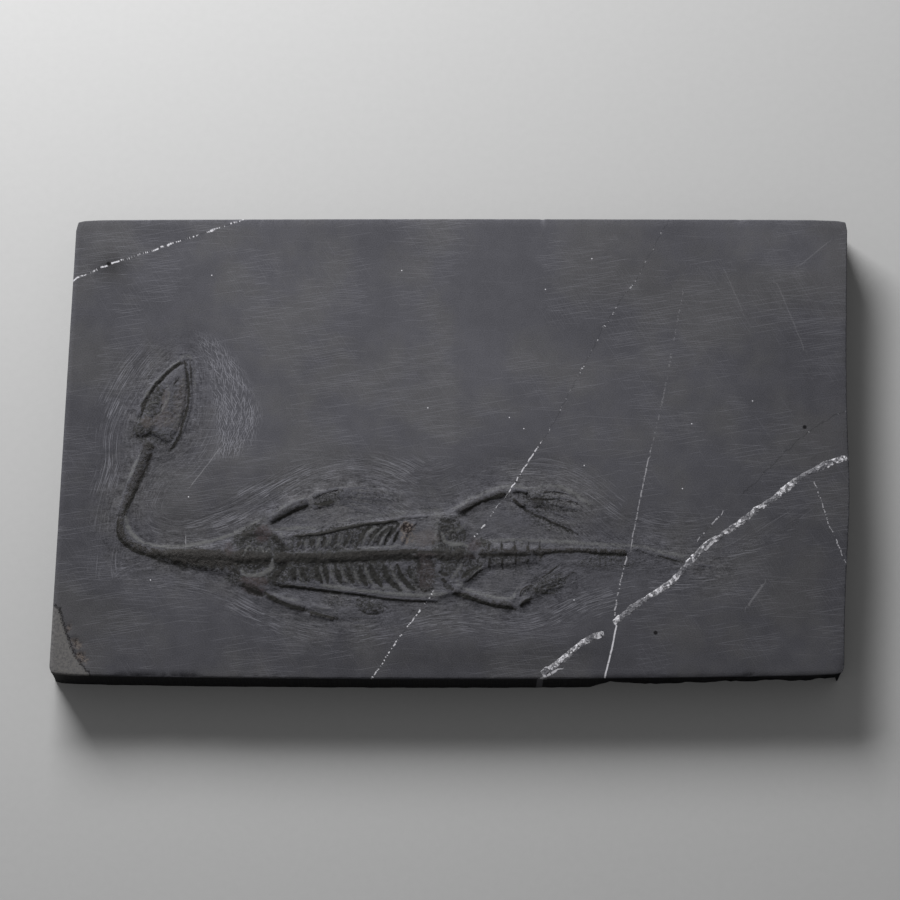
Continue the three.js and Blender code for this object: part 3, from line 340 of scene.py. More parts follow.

# Lines and spots that are almost black, partly dark bone and openings and partly painted shadow along edges
# turned
# from the light: points, width, strength
DARK_STROKES = {
    "skull rim": [
        ([(-99.8, 10.6), (-99.7, 13.6), (-98.6, 15.4)], 0.75, 1),
        ([(-97.6, 17), (-96, 20), (-94.6, 21), (-93.4, 22.8), (-91.4, 24.8), (-89, 27), (-87, 27.8),
          (-86, 27)], 0.95, 1),
        ([(-86.8, 27.6), (-86, 25), (-85.5, 21.6), (-85.2, 18), (-85.2, 14)], 0.65, 1),
        ([(-84.9, 27.6), (-84.5, 24), (-84.4, 20)], 0.5, 0.7),
        ([(-84.9, 16.4), (-84.4, 16.2)], 0.4, 1),
        ([(-85.2, 14), (-85.9, 11), (-86.8, 8), (-87.4, 6)], 0.75, 0.9),
        ([(-87, 6.4), (-87.8, 3.4), (-88.8, 1.2), (-90, -0.8), (-91, -1.6)], 0.7, 0.95),
        ([(-90.6, -2), (-91.4, -3)], 0.6, 0.6),
    ],
    "skull openings": [
        ([(-90, 19.9), (-89.4, 20.6), (-88.3, 22.3)], 0.4, 1),
        ([(-96.8, 17.6), (-96, 17.2)], 0.5, 0.8),
        ([(-95.8, 18.6), (-93, 16.6)], 0.8, 0.4),
        ([(-99, 14.9), (-97, 14.8), (-95, 15.6), (-93.4, 17), (-92.8, 18.6)], 0.35, 0.6),
        ([(-95.4, 13.6), (-95, 13.6)], 0.4, 0.9),
        ([(-93.6, 13.4), (-94.2, 11), (-95.4, 10), (-96.6, 10.2)], 0.6, 0.8),
        ([(-96.6, 9.6), (-96.6, 7.4)], 0.3, 0.5),
        ([(-92, 9.6), (-93, 8)], 0.35, 0.6),
        ([(-88.6, 15.4), (-87.6, 15.2)], 0.5, 0.4),
    ],
    "back of skull": [
        ([(-101.8, 8.6), (-101, 8.4)], 0.65, 1),
        ([(-100.4, 9.4), (-99.8, 10.4)], 0.45, 0.7),
        ([(-102.6, 4.4), (-102, 2.4), (-101, 3.2)], 0.5, 0.9),
        ([(-99.8, 5), (-99.4, 2)], 0.45, 0.7),
        ([(-98.4, 4.8), (-97, 4.2), (-96.6, 3.4)], 0.5, 0.6),
        ([(-95.2, 2.6), (-94.2, 1.4), (-93, 1.2), (-92.6, 0.2)], 0.6, 0.65),
        ([(-97, -0.4), (-95.6, -1)], 0.6, 0.7),
        ([(-93, -0.6), (-91, -1)], 0.5, 0.6),
    ],
    "neck": [
        ([(-96.6, -3), (-98.4, -8), (-100, -11.6), (-101.6, -15), (-103, -18.6), (-104.6, -21.8)],
         0.9, 0.6),
        ([(-106.6, -22), (-106.9, -25), (-107, -27.2)], 0.5, 0.6),
        ([(-107.3, -27.2), (-106.9, -29.4), (-105.4, -31.8), (-102.6, -33.8), (-99, -35.6), (-96, -36.6),
          (-92.6, -38), (-91, -38.4)], 0.65, 0.9),
        ([(-94, -36.4), (-88, -36.9), (-82, -37.3), (-76, -37.6), (-70, -37.8)], 0.6, 0.5),
        ([(-91, -38.4), (-86, -39.4), (-82, -40.4)], 0.35, 0.6),
        ([(-82, -39.4), (-80, -40.8), (-78, -40.6)], 0.5, 0.8),
        ([(-77, -41), (-74.6, -41.4)], 0.5, 0.9),
        ([(-73, -41.6), (-71.6, -42.6), (-70.4, -43)], 0.4, 0.9),
    ],
    "shoulder": [
        ([(-69.4, -38.4), (-66, -38.5), (-63, -38.2), (-58.4, -38.2)], 0.6, 1),
        ([(-66, -39.8), (-64, -40.6), (-61, -40)], 0.7, 0.9),
        ([(-68, -29.4), (-65, -29.6), (-62.4, -29.8)], 0.6, 0.7),
        ([(-67, -28.4), (-64.4, -26.8), (-62, -26.2)], 1.6, 0.75),
        ([(-69.6, -41), (-68.4, -43.2)], 1.3, 0.8),
        ([(-57, -30.5), (-54.8, -33.4), (-53.4, -36.4)], 1.4, 0.7),
        ([(-59.2, -33.2), (-58.8, -33.4)], 0.55, 0.9),
        ([(-62.8, -33.4), (-62.4, -33.6)], 0.5, 0.6),
        ([(-57, -43), (-55, -40.8), (-53.4, -38.4)], 1.8, 0.95),
        ([(-58.6, -43.4), (-56, -43.8)], 0.75, 0.75),
        ([(-56.8, -34), (-55, -36)], 1, 0.4),
        ([(-66.4, -46), (-63.4, -47.4), (-60.4, -49)], 1.9, 0.75),
    ],
    "upper flank": [
        ([(-53, -30.2), (-46, -30)], 0.45, 0.6),
        ([(-54, -30.8), (-48, -30.2), (-42, -29), (-36, -27.6)], 1.2, 0.7),
        ([(-38, -27.8), (-31, -26.5), (-26, -25.9), (-18, -25.4)], 1.1, 0.8),
        ([(-20, -24.6), (-14, -23.6)], 0.3, 0.5),
    ],
    "upper ribs": [(band, 1, 0.95) for band in UPPER_RIB_BANDS],
    "lower ribs": [(band, 1.2, 1.1) for band in LOWER_RIB_BANDS],
    "spine": [
        ([(-30, -38.4), (-20, -37.8), (-12, -37.2)], 1, 0.8),
        ([(-55, -36.6), (-44, -36.4), (-32, -35.8), (-20, -35.2), (-12, -34.8)], 1, 0.5),
        ([(-53, -37.4), (-48, -37.8), (-42, -38.4), (-36, -38.5), (-31, -37.9), (-26, -37.2), (-20, -36.8),
          (-14, -36.2)], 1.2, 0.8),
        ([(-14, -35.4), (-8, -35.2), (-3, -35.3)], 0.6, 0.7),
    ],
    "lower flank": [
        ([(-58, -45.6), (-53, -46.2), (-48, -46.8), (-42, -47.6), (-36, -48.4)], 0.9, 0.8),
        ([(-36, -48.4), (-30, -49), (-24, -50), (-18, -50.6), (-12, -51), (-5, -51.4)], 0.45, 0.6),
    ],
    "upper forelimb": [
        ([(-58.4, -25.9), (-57, -25.2), (-54, -23.4), (-51, -21.8), (-48.6, -20.4), (-46.6, -19.9)],
         0.8, 0.75),
        ([(-44.6, -17.3), (-42, -16.2), (-39, -15.2), (-36.2, -14.8)], 0.4, 0.7),
        ([(-36, -14.6), (-35.4, -15.2)], 0.6, 0.9),
        ([(-44.2, -19.2), (-42, -19.2), (-40, -18.6), (-38.2, -18.2)], 1.1, 1),
        ([(-43.6, -20), (-42.2, -21.2)], 0.5, 0.7),
        ([(-25.4, -15), (-23.8, -15)], 0.3, 0.8),
        ([(-34, -15.4), (-31, -15.8)], 0.4, 0.4),
        ([(-32, -17.4), (-30.6, -17.6)], 0.4, 0.6),
        ([(-36, -19.4), (-33, -19)], 0.6, 0.4),
    ],
    "lower forelimb": [
        ([(-59.8, -48), (-59, -49), (-56.6, -50.6), (-53.6, -51.9), (-50, -53.2), (-45, -54.4)], 0.75, 1),
        ([(-48, -53.8), (-44.6, -54.6), (-42, -55.4), (-40, -56), (-36.8, -56.6)], 0.6, 0.95),
        ([(-31, -52.4), (-29.6, -54), (-27.4, -55.2), (-24, -54.9), (-22.4, -54.4)], 0.38, 1),
        ([(-24.6, -51.8), (-22, -52.4), (-20.8, -53.4)], 0.38, 1),
        ([(-31, -50.6), (-29, -49.4), (-26, -49.8), (-24.4, -50.8)], 0.38, 0.9),
        ([(-28, -52.4), (-25.6, -53)], 0.35, 0.8),
    ],
    "end of body": [
        ([(-11.8, -35.6), (-11.4, -38), (-11, -40.6)], 0.7, 0.9),
        ([(-12.2, -45.4), (-10.6, -47.2), (-8.4, -48), (-6.2, -46.6)], 0.5, 0.9),
        ([(-11.4, -42), (-9, -43.6), (-7.6, -42.4)], 0.6, 0.7),
        ([(-7.4, -37), (-6.6, -40.4)], 0.8, 0.6),
        ([(-10.6, -46.2), (-9, -45.6), (-7.4, -45.4)], 0.3, 0.6),
        ([(-9.6, -41), (-9, -43)], 0.35, 0.6),
    ],
    "pelvis": [
        ([(-4.6, -24.6), (-2, -25), (0.6, -24.8)], 0.9, 0.8),
        ([(-0.6, -24), (1.4, -23.6), (3.4, -22.6)], 0.9, 0.7),
        ([(-4.2, -27.2), (-2.4, -26.6)], 0.5, 0.7),
        ([(-4.4, -30), (-3.8, -33)], 0.8, 0.6),
        ([(-0.6, -26.4), (0.4, -29), (1.6, -31.4)], 0.5, 0.5),
        ([(-5, -36.4), (-2, -37.8), (1, -38.4)], 1.2, 0.5),
        ([(-4.6, -41.6), (-2.6, -42.6)], 0.9, 0.8),
        ([(-3.4, -44), (-2.4, -46), (-0.6, -47)], 1.5, 0.8),
        ([(4, -38.6), (7, -38.8)], 0.8, 0.4),
        ([(2.4, -43.6), (4, -41.6), (6, -40.4)], 0.8, 0.7),
        ([(3.2, -45), (4.4, -44.6), (6, -43), (8, -41.4), (9.8, -40.4)], 0.4, 1),
        ([(4, -41.2), (7, -40), (9.4, -39.4)], 0.35, 0.9),
    ],
    "upper hindlimb": [
        ([(1, -23.6), (3.4, -22.2), (6, -20.2), (9, -18.6), (12, -17.4), (15, -16.3), (17, -16.2)],
         0.6, 0.9),
        ([(18.6, -15.8), (21, -15.7), (23.2, -15.9)], 0.45, 0.8),
        ([(22.4, -16.8), (24.6, -17.8), (25.4, -18)], 0.6, 0.85),
        ([(17.6, -16.8), (19.6, -18.6), (21.4, -20.4), (24, -22), (27, -23.4), (31, -25.4)], 0.65, 1),
        ([(30, -25), (34, -26.8), (39, -29.2)], 0.9, 0.75),
        ([(25.4, -17.6), (31.4, -18)], 0.55, 1),
        ([(31, -18.2), (36, -18.1), (39.6, -19.4)], 0.5, 0.95),
        ([(27, -15.4), (31, -15.2), (35.6, -16)], 0.5, 0.9),
        ([(25.6, -20.4), (32, -20.8)], 0.5, 0.8),
        ([(33.4, -21.4), (39, -21.6)], 0.45, 0.85),
        ([(28.6, -14.8), (30, -16)], 0.3, 0.5),
        ([(21, -19), (23, -19.6)], 0.4, 0.7),
    ],
    "lower hindlimb": [
        ([(-0.6, -48.6), (2.6, -49), (6, -50.4), (9.6, -51.8), (13, -52.6), (16.6, -53), (19.6, -53.6)],
         0.65, 1),
        ([(21, -52.6), (21.6, -51.4), (23.4, -50.4), (25, -50.1)], 0.5, 0.95),
        ([(20.6, -49.8), (21, -47.6), (23, -46), (25.6, -45.6)], 0.33, 0.8),
        ([(25.8, -44.2), (28.4, -42.8), (31, -41), (33.8, -38.4)], 0.38, 0.9),
        ([(27.6, -46.4), (31, -46.4), (33.6, -45.2)], 0.5, 0.8),
        ([(27.6, -48.4), (32.6, -48.2)], 0.4, 0.9),
        ([(29, -44.8), (32, -43.8), (35, -43.4)], 0.3, 0.6),
        ([(35, -43.6), (37, -41.8), (38.6, -41.2)], 0.5, 0.8),
        ([(24, -46.8), (26.4, -47.2)], 0.4, 0.7),
    ],
    "tail": [
        ([(7, -35.9), (12, -36.1), (18, -36.1), (24, -36)], 0.5, 0.8),
        ([(26, -36.2), (30, -35.6), (32, -34.9), (38, -34.8), (43, -35)], 0.5, 0.7),
        ([(43, -35.4), (48, -35.9), (54.4, -35.9)], 0.8, 0.9),
        ([(58.6, -34.4), (60.6, -35.4)], 0.3, 0.8),
        ([(64.6, -36.2), (68, -37.2), (70, -37.8), (73, -38.3)], 0.5, 0.85),
        ([(75.4, -38.8), (80, -39.8)], 0.5, 0.5),
        *[([(x, -37.4), (x, -40.8)], 0.55, 0.9) for x in (7.2, 11.2, 15.2, 19.4)],
        *[([(x, -31.4), (x, -34.4)], 0.45, 0.85) for x in (11, 15, 19.2, 23.4, 27)],
        ([(23.6, -37.6), (22.8, -39)], 0.35, 0.8),
        ([(19.3, -40.2), (19.4, -40.4)], 0.5, 1),
        ([(21.2, -32.2), (21.8, -32.2)], 0.35, 0.8),
    ],
}

# Patches: middle, half sizes, turn in degrees, strength
PURPLE_PATCHES = [
    ((-60.8, -29.2), (2.9, 3), 0, 1),
    ((-71.6, -34), (1.6, 2.6), 0, 0.6),
    ((-63.2, -44.6), (5.6, 1.7), -3, 1),
    ((-63.4, -47.2), (4.4, 2), -24, 1.2),
    ((-9.2, -41.5), (3.2, 6.4), 0, 0.55),
    ((6.2, -33), (2.4, 2.6), -10, 0.6),
    ((-9, -36), (4, 1.2), 0, 0.7),
    ((5, -36.6), (2.2, 0.8), 0, 0.5),
]
RUST_PATCHES = [((-15, -27), (2.8, 2.2), 0, 0.95), ((-15, -30.4), (2.8, 2.5), 0, 0.55)]
BROWN_PATCHES = [
    ((-92.6, 14), (1.3, 5.4), -8, 0.8),
    ((-93, 8.4), (4.2, 3), 20, 0.7),
    ((-98.4, 7.4), (2.2, 2), 0, 0.8),
    ((-9, -30.4), (4.4, 3), 15, 0.6),
    ((-88.6, 6), (1.6, 1.6), 0, 0.5),
    ((-88, 14), (2.4, 9), -8, 0.55),
]

# Where the rock between the bones is dark and mottled
CARPET_PATCHES = [
    ((-61.6, -36), (8.5, 9.5), -18, 0.88),
    ((-54.6, -38), (4, 7), -24, 0.9),
    ((-66, -30.4), (7, 3.6), 20, 0.95),
    ((-58, -43), (8, 3), 0, 0.9),
    ((-82, -37.2), (13, 3.8), -7, 1.1),
    ((-47, -41), (9, 4.4), 0, 1),
    ((-36, -30), (19, 4.6), 8, 0.68),
    ((-28, -41.6), (15, 4), -4, 0.9),
    ((-34, -35.8), (21, 2), 2, 0.95),
    ((-1, -34), (6.6, 12), 8, 0.8),
    ((-10, -42), (5, 7.4), 0, 0.95),
    ((5, -40), (5, 5), 30, 0.7),
    ((17, -38), (9, 2.6), 0, 0.6),
    ((-27, -52.4), (6, 2.8), -10, 0.75),
    ((-37, -51), (6, 2), -10, 0.5),
    ((-68.4, -44), (5, 2.4), -10, 0.8),
    ((-40, -17.4), (6, 3), 10, 0.45),
    ((-28, -17), (8, 3), 0, 0.3),
    ((29, -19), (9, 4.5), -20, 0.5),
    ((29, -25), (10, 2.6), -25, 0.6),
    ((48, -38.4), (13, 2.4), 0, 0.6),
    ((9, -32), (3, 1.8), 0, 1),
    ((29, -45), (8, 4.5), 25, 0.6),
    ((-97.6, 9), (3.4, 5), -20, 0.5),
    ((-99.8, 5), (4, 4), 0, 0.7),
    ((-95, 2), (6, 4), 0, 0.45),
    ((-89, 13), (4, 10), -10, 0.28),
    ((-96.6, 15.4), (3.4, 5.4), -30, 0.7),
]
CARPET_ROUND_BONES = 0.35
CARPET_SPREAD = 1.2
CARPET_ON_LIMBS = 0.12

# How much of a bone still has rock dust on it, from 0, clean and dark, to 1
DUST = {
    "skull": 0.94, "lower_jaw_left": 0.5, "lower_jaw_right": 0.62, "neck_front": 0.46, "neck_bend": 0.42,
    "neck_base": 0.36, "trunk_spine": 0.46, "tail_front": 0.42, "tail_rear": 0.6, "tail_tip": 0.7,
    "rib_upper": 0.55, "rib_lower": 0.62, "gastralia_upper": 0.5, "gastralia_lower": 0.5,
    "scapula": 0.58, "coracoid": 0.9, "humerus": 0.5, "radius_upper": 0.6, "ulna_upper": 0.5,
    "radius_lower": 0.85, "ulna_lower": 0.45, "hand_upper": 0.92, "hand_lower": 0.85, "pubis": 0.6,
    "ischium_upper": 0.7, "ischium_lower": 0.6, "femur": 0.45, "tibia": 0.5, "fibula": 0.5,
    "foot_upper": 0.55, "foot_lower": 0.6,
}

# Wide soft clouds over the face: middle, half sizes, turn, strength
PALE_CLOUDS = [
    ((108, 68), (30, 12), -14, 1.5), ((122, 42), (5, 16), 0, 0.8), ((86, 20), (10, 8), 0, 0.4),
    ((8, 28), (10, 13), 0, 0.9), ((-14, 37), (10, 4), 0, 0.7), ((110, -67), (14, 8), 0, 0.6),
    ((-30, 9), (8, 4), 0, 0.5), ((121, 24), (6, 24), 0, 0.45), ((-99, 57), (7, 4), 0, 1),
    ((-112, 67), (9, 3), 0, 0.9), ((-86, 64), (6, 4), 0, 0.9), ((-96, 37), (6, 3), 0, 1.2),
    ((-84, -61), (16, 6), 0, 0.5), ((86, -29), (6, 4), 0, 1.2), ((82, -8), (14, 5), -8, 0.5),
]
# The dark cloud in the neck's bend, at (-84, -16), is painted shade of the hollow there
DARK_CLOUDS = [
    ((-111, 60), (6, 3), 0, 5), ((-103, 49), (5, 4), 0, 1.2), ((-113, 28), (6, 14), 0, 0.5),
    ((-99, 26), (5, 6), 0, 0.8), ((-84, -16), (16, 24), 0, 0.75), ((-119, 0), (8, 60), 0, 0.3),
    ((-40, -60), (50, 8), 0, 0.45), ((-20, -9), (16, 5), 0, 0.9), ((-34, -14), (10, 3), 0, 0.8),
    ((-5, -17), (5, 6), 0, 0.9), ((-35, 32), (8, 6), 0, 0.7), ((20, -6), (10, 5), 20, 0.8),
    ((48, -24), (10, 5), 0, 1.2), ((-88, 27), (3, 4), 0, 1), ((8, -33), (5, 3), 0, 0.6),
    ((-112, -52), (12, 9), 0, 0.55), ((-12, -69.6), (58, 5.4), 0, 1.7), ((50, 50), (26, 18), 0, 0.8),
    ((30, 38), (10, 6), 0, 0.4), ((52, 35), (12, 5), 0, 0.6), ((-46, 22), (10, 18), 0, 0.4),
    ((24, -67), (34, 3.6), 0, 1.7), ((-28, 67), (26, 9), 0, 0.6), ((0, -54), (7, 5), 0, 1),
    ((-112, -11), (10, 4), 0, 0.4),
]

# Hairline veins and scratches, which are only colour: points, half width, strength, and how far the white
# fills the line. A line's colour ends between the distances of HAIR_EDGE, and HAIR_STEP sets the lines'
# patterns apart.
HAIR_VEINS = {
    "hair_a": ([(69.8, 76), (63.8, 65), (58.7, 55.2), (55.3, 50.9), (47.8, 38.8), (40.3, 24.3),
                (32, 8.1), (27.9, 1)], 0.23, 0.75, 0.36),
    "hair_a_low": ([(27.9, 1), (23.8, -4.9), (21.3, -9), (17, -15.8)], 0.27, 1, 0.75),
    "hair_a_limb": ([(13.3, -20.5), (9.5, -26), (5.4, -31.4)], 0.3, 1, 0.55),
    "hair_a_front": ([(-6, -47), (-11, -54), (-16.6, -61.6), (-26, -76)], 0.29, 0.95, 0.6),
    "hair_b": ([(73.6, 50), (72, 42), (70.3, 33.4), (66.8, 15.3), (64.2, 4.4), (62.4, -3.6)],
               0.28, 0.13, 0.6),
    "hair_b_low": ([(62.6, -1.6), (60.4, -11.5), (56.2, -32)], 0.26, 0.4, 0.85),
    "hair_b_tail": ([(54.6, -37), (52.4, -45), (50.8, -53), (50.4, -58)], 0.32, 0.6, 0.7),
    "hair_b_front": ([(51, -59.4), (49.4, -67), (47.2, -75.6)], 0.36, 0.95, 1),
    "hair_c": ([(-128, 53.2), (-117.1, 58), (-111, 60.8), (-99.6, 64.7), (-92.2, 67.3), (-84.8, 69.9),
                (-78.2, 72.3), (-68, 76)], 0.4, 0.95, 0.55),
    "hair_d": ([(127, 12), (121.8, 9.8), (114.3, 5.2), (108.1, 0.1), (92, -16)], 0.28, 0.75, 0.22),
    "hair_e": ([(114.6, -12), (119, -26), (121.6, -32.4), (124.4, -40)], 0.25, 0.65, 0.6),
    "vein_start": ([(26.4, -76.4), (29, -75), (32, -73.4)], 0.6, 0.7, 1),
    "hair_f": ([(78, -30), (81, -26.8), (84.6, -23.2)], 0.3, 0.7, 0.6),
    "scratch_a": ([(87.5, 58.3), (93, 44.4)], 0.25, 0.05, 1),
    "scratch_b": ([(104.4, 53.9), (112.4, 32.3)], 0.3, 0.05, 1),
    "scratch_c": ([(111.5, 60), (120.7, 67.8)], 0.3, 0.06, 1),
    "scratch_d": ([(93, -52), (97.4, -46)], 0.5, 0.1, 1),
    "scratch_e": ([(-85.3, -29.8), (-85.3, -32.2)], 0.2, 0.25, 1),
    "scratch_f": ([(-75, -1), (-78, -5.4), (-84, -13.4)], 0.22, 0.14, 1),
}
HAIR_EDGE = (1.8, 3.2)
HAIR_STEP = 37

# Small round spots
WHITE_SPECK_RADIUS = 0.26
WHITE_SPECKS = [
    (37.8, -50.5), (72.6, -14.3), (-84.6, -17), (-96.2, -44), (-8.5, 12.4), (17.6, 9.2), (22.2, 5.5),
    (75.9, 7.1), (44.5, 62.5), (41.4, -6.6), (-78.4, 56.9), (95.5, 14.7), (29.4, 52.1), (-17, 58.5),
]
DARK_SPOT_RADIUS = 0.9
DARK_SPOTS = [(63.4, -61.2), (-111.9, 60.8), (112, 6)]

# The crack along the pale corner, and the pits beside it
CORNER_CRACK = [
    (-131, -50), (-127.6, -51.8), (-124.7, -53.3), (-124.1, -55.6), (-122.4, -61), (-120.1, -67.1),
    (-118.4, -70), (-115, -74.1), (-113, -77),
]
CORNER_PIT_DEPTH = 0.7
CORNER_PITS = [
    ((-121.6, -59.4), (0.7, 2), 20, 0.6),
    ((-119, -64.6), (1.2, 2), 35, 0.9),
    ((-117.2, -69), (1, 2.6), 40, 1),
]

# The calcite vein, with the line that it follows down the front side and the places where it is dim
VEIN_CELL = 0.3
VEIN_SOFTNESS = 0.3
VEIN_RISE = 0.14
VEIN_GRAIN = 0.05
VEIN_RAGGED = 0.35
VEIN_DEPTH = 2
VEIN_MARGIN = 0.1
VEIN_ON_FRONT = [(25.9, -80), (27.2, -74.7)]
VEIN_DIM = [
    ((72.4, -40.4), (2.6, 2), 40, 1.3),
    ((100, -18), (2, 1.6), 40, 0.9),
    ((112.5, -9.8), (3, 1.6), 30, 1),
    ((57, -53.6), (6, 2.4), 38, 0.7),
    ((115, -7.4), (6, 2), 20, 0.4),
    ((42, -63.6), (3, 2), 40, 0.25),
]

# The slab's grid: stops of [place along a side, cell size up to the next stop]
COLUMN_STOPS = [(-125, 0.3), (-124.4, 1.2), (-111, 0.45), (46, 1.6), (124.4, 0.3), (125, None)]
ROW_STOPS = [(-76, 0.3), (-75.4, 1.1), (-58, 0.42), (-20, 0.75), (34, 2.4), (75.4, 0.3), (76, None)]
SIDE_LEVELS = 12

# The slab's edge: worn all round, chipped along a stretch of the front left, broken on the front right
EDGE_BAND = (2, 6)
EDGE_WEAR = 0.3
EDGE_WEAR_VARIES = 0.15
EDGE_WEAR_SCALE = 0.5
BACK_EDGE_SPARED = 0.6
EDGE_REACH = 0.5
CHIP_DEPTH = 0.5
CHIPPED_DEPTH = 0.25
CHIPPED_VARIES = 0.3
CHIPPED_FROM = (-108, -104)
CHIPPED_TO = (-82, -78)
RIM_BROKEN_FROM = (40, 48)
SIDE_BROKEN_FROM = (42, 50)
BREAK_SETBACK = 2.3
SAWN_SETBACK = 0.12
SAWN_HOLLOW = 0.1
SAW_MARK_DEPTH = 0.06
SAW_MARK_SCALE = 0.4
SAW_MARK_SCALE_DOWN = 3
LEAST_SETBACK = 0.02
# A paler band along the face's edges: faint along the back and left, narrow along the right
PALE_EDGE_REACH = 1.6
PALE_EDGE_REACH_RIGHT = 0.7
FAINT_PALE_EDGE = 0.3

# Soft ovals and strokes: how ragged they are and where they fade, mostly as shares of their size
OVAL_RAGGED = 0.25
OVAL_FADE = (0.6, 1.15)
STROKE_RAGGED = 0.3
STROKE_CORE = 0.35
STROKE_TIP = 0.55
STROKE_TAPER = 2.5
STROKE_TAPER_SHARE = 0.35
STROKE_UNEVEN = 0.15
STROKE_UNEVEN_SCALE = 0.8

# Colours
SHALE = (0.069, 0.0688, 0.0785)
SHALE_WARM = (0.074, 0.0732, 0.0785)
SHALE_POWDER = (0.21, 0.21, 0.235)
# The sides' near black is painted shade of the sides turned from the light
SIDE_SHADE_BLACK = (0.0098, 0.0096, 0.0104)
CARPET_GREY = (0.03, 0.0298, 0.029)
PURPLE_BROWN = (0.05, 0.039, 0.041)
RUST_BROWN = (0.015, 0.0105, 0.0095)
RUST_PALE = (0.14, 0.116, 0.1)
WARM_BROWN = (0.1, 0.086, 0.082)
CORNER_GREY = (0.115, 0.111, 0.108)
BONE_BLACK = (0.015, 0.014, 0.0132)
BONE_BROWN = (0.04, 0.0372, 0.0355)
CALCITE_WHITE = (0.52, 0.515, 0.545)
CALCITE_GREY = (0.105, 0.104, 0.113)
# The colours that the light and dark fields mix in: pale rock and painted highlight, black bone and painted
# shadow
LIT_ROCK = (0.135, 0.136, 0.136)
NEAR_BLACK = (0.018, 0.0177, 0.017)
PALE_FLOOR = (0.4, 0.4, 0.4)

# The sanded face: the middle of its painted pool of light, which grows darker away from it as painted
# fall-off of the light, its fine scratches by turn in degrees and strength, their half width and half
# length, and how far apart their patterns start
LIGHT_POOL_MIDDLE = (-5, 28)
FACE_SCRATCHES = [(10, 0.25), (-3, 0.21), (-58, 0.11)]
SCRATCH_SIZE = (0.12, 7.0)
SCRATCH_STEP = 10.3

# A dash's half width and half length as shares of its cell: where it ends and where it starts to fade
DASH_REACH = (0.16, 0.45)
DASH_CORE = (0.05, 0.25)

# A dash shows where its chance is above these values less the share, and is at least this strong
DASH_CHANCE = (1.0, 1.15)
DASH_WEAKEST = 0.35

# Each pattern's noise: its scale, its detail and how rough it is
CLOUD_NOISE = (0.03, 4.0)
BLOTCH_NOISE = 0.16
BUNDLE_NOISE = (0.035, 2.0, 0.5)
PATCHY_NOISE = (0.13, 2.0, 0.5)
GRAIN_NOISE = (2.6, 3.0, 0.7)
MOTTLE_NOISE = (1.1, 4.0, 0.8)
FLECK_NOISE = (1.1, 3.0, 0.8)
WANDER_NOISE = (0.45, 2.0, 0.5)
BEAD_NOISE = (0.85, 3.0, 0.75)
VEIN_NOISE = (0.5, 4.0, 0.75)
FLOOR_NOISE = (0.4, 2.0, 0.5)

# The noise that is drawn out has its scale in each direction, and apart from that its scale is 1
STROKE_NOISE = (1.0, 3.0, 0.65)
FINE_NOISE = (1.0, 3.0, 0.7)
SPECKLE_NOISE = (1.0, 3.0, 0.8)
STROKE_SCALES = (1.3, 0.1)
FINE_SCALES = (2.6, 0.3)
SPECKLE_SCALES = (1.2, 2.4)
SMEAR_SCALES = (0.22, 0.75)
BONE_SCALES = (1.8, 3.6)
SAW_SCALES = (0.06, 0.06, 5.0)

# Where each pattern starts and is whole, then what it runs from and to where that isn't 0 and 1
CLOUD_RANGE = (0.3, 0.7, 0.93, 1.02)
LIGHT_FALLOFF_RANGE = (40, 150, 0.02, -0.22)
WARM_RANGE = (0.4, 0.65)
BUNDLE_RANGE = (0.4, 0.62, 0.1, 0.75)
PATCHY_MARKS = (0.35, 0.6, 0.35, 1.0)
PATCHY_STAINS = (0.3, 0.6, 0.35, 1.0)
PATCHY_CORNER = (0.3, 0.65, 0.25, 1.0)
PATCHY_PALE_EDGE = (0.35, 0.6)
FURROW_RANGE = (0.5, 0.3)
LIT_RANGE = (0.15, 1.2)
BLACK_RANGE = (0.15, 0.75)
STROKE_FADE = (0.0, 0.25)
CARPET_RANGE = (0.3, 0.75)
CARPET_FADE = (0.0, 0.3)
FLECK_RANGE = (0.4, 0.66)
RUST_FADE = (0.1, 0.6)
RUST_DARK_RANGE = (0.0, 0.35)
CORNER_FADE = (0.1, -0.4)
CRACK_FADE = (0.55, 0.1)
PIT_RUST_RANGE = (0.42, 0.56)
SAW_RANGE = (0.3, 0.7, 0.7, 1.4)
SIDE_VEIN_FADE = (1.1, 0.7)
GRAIN_RANGE = (0.2, 0.8)
BONE_RANGE = (0.38, 0.62)
WHITE_RANGE = (0.75, 1.1)
VEIN_DIRT_RANGE = (0.5, 0.42)
FLOOR_TONE = (0.99, 1.01)

# How far a noise swings a value, and how far from its middle the noise is then used
GRAIN_REACH = 0.25
CARPET_SWING = (0.4, 0.25)
HAIR_SWING = (0.4, 0.25)
CRACK_SWING = (0.7, 0.3)

# How much of each part goes into a mixture
CARPET_SHARE = 0.65
FLECKS_OFF_RUST = -1.4
SPECK_SHARES = (0.5, 0.25, 0.25)
DIRT_SHARES = (0.65, 0.35)
DUST_OFFSET = -0.5
DUST_ON_EDGE = 0.25
# The light field raises a bone's dust share and the dark field lowers it: painted highlight and painted
# shade on the bones
DUST_AND_HIGHLIGHT_ON_LIGHT = 0.3
CLEAN_AND_SHADE_ON_DARK = -0.35
WHITE_BY_GRAIN = 0.6
WHITE_INSIDE = 0.15
DIRT_WHERE_DIM = -0.35

# Hairline veins: how far they wander, their core as a share of their width, and their white beads
HAIR_WANDER_MOST = 1.15
HAIR_CORE = 0.3
BEAD_ROW = 3.0
BEADS_BARE = 0.72
BEADS_BY_FILL = 0.42
BEAD_FADE = 0.1

# A spot's core as a share of its radius, and the scale of the calcite's grains
SPOT_CORE = 0.45
CALCITE_GRAINS = 1.3

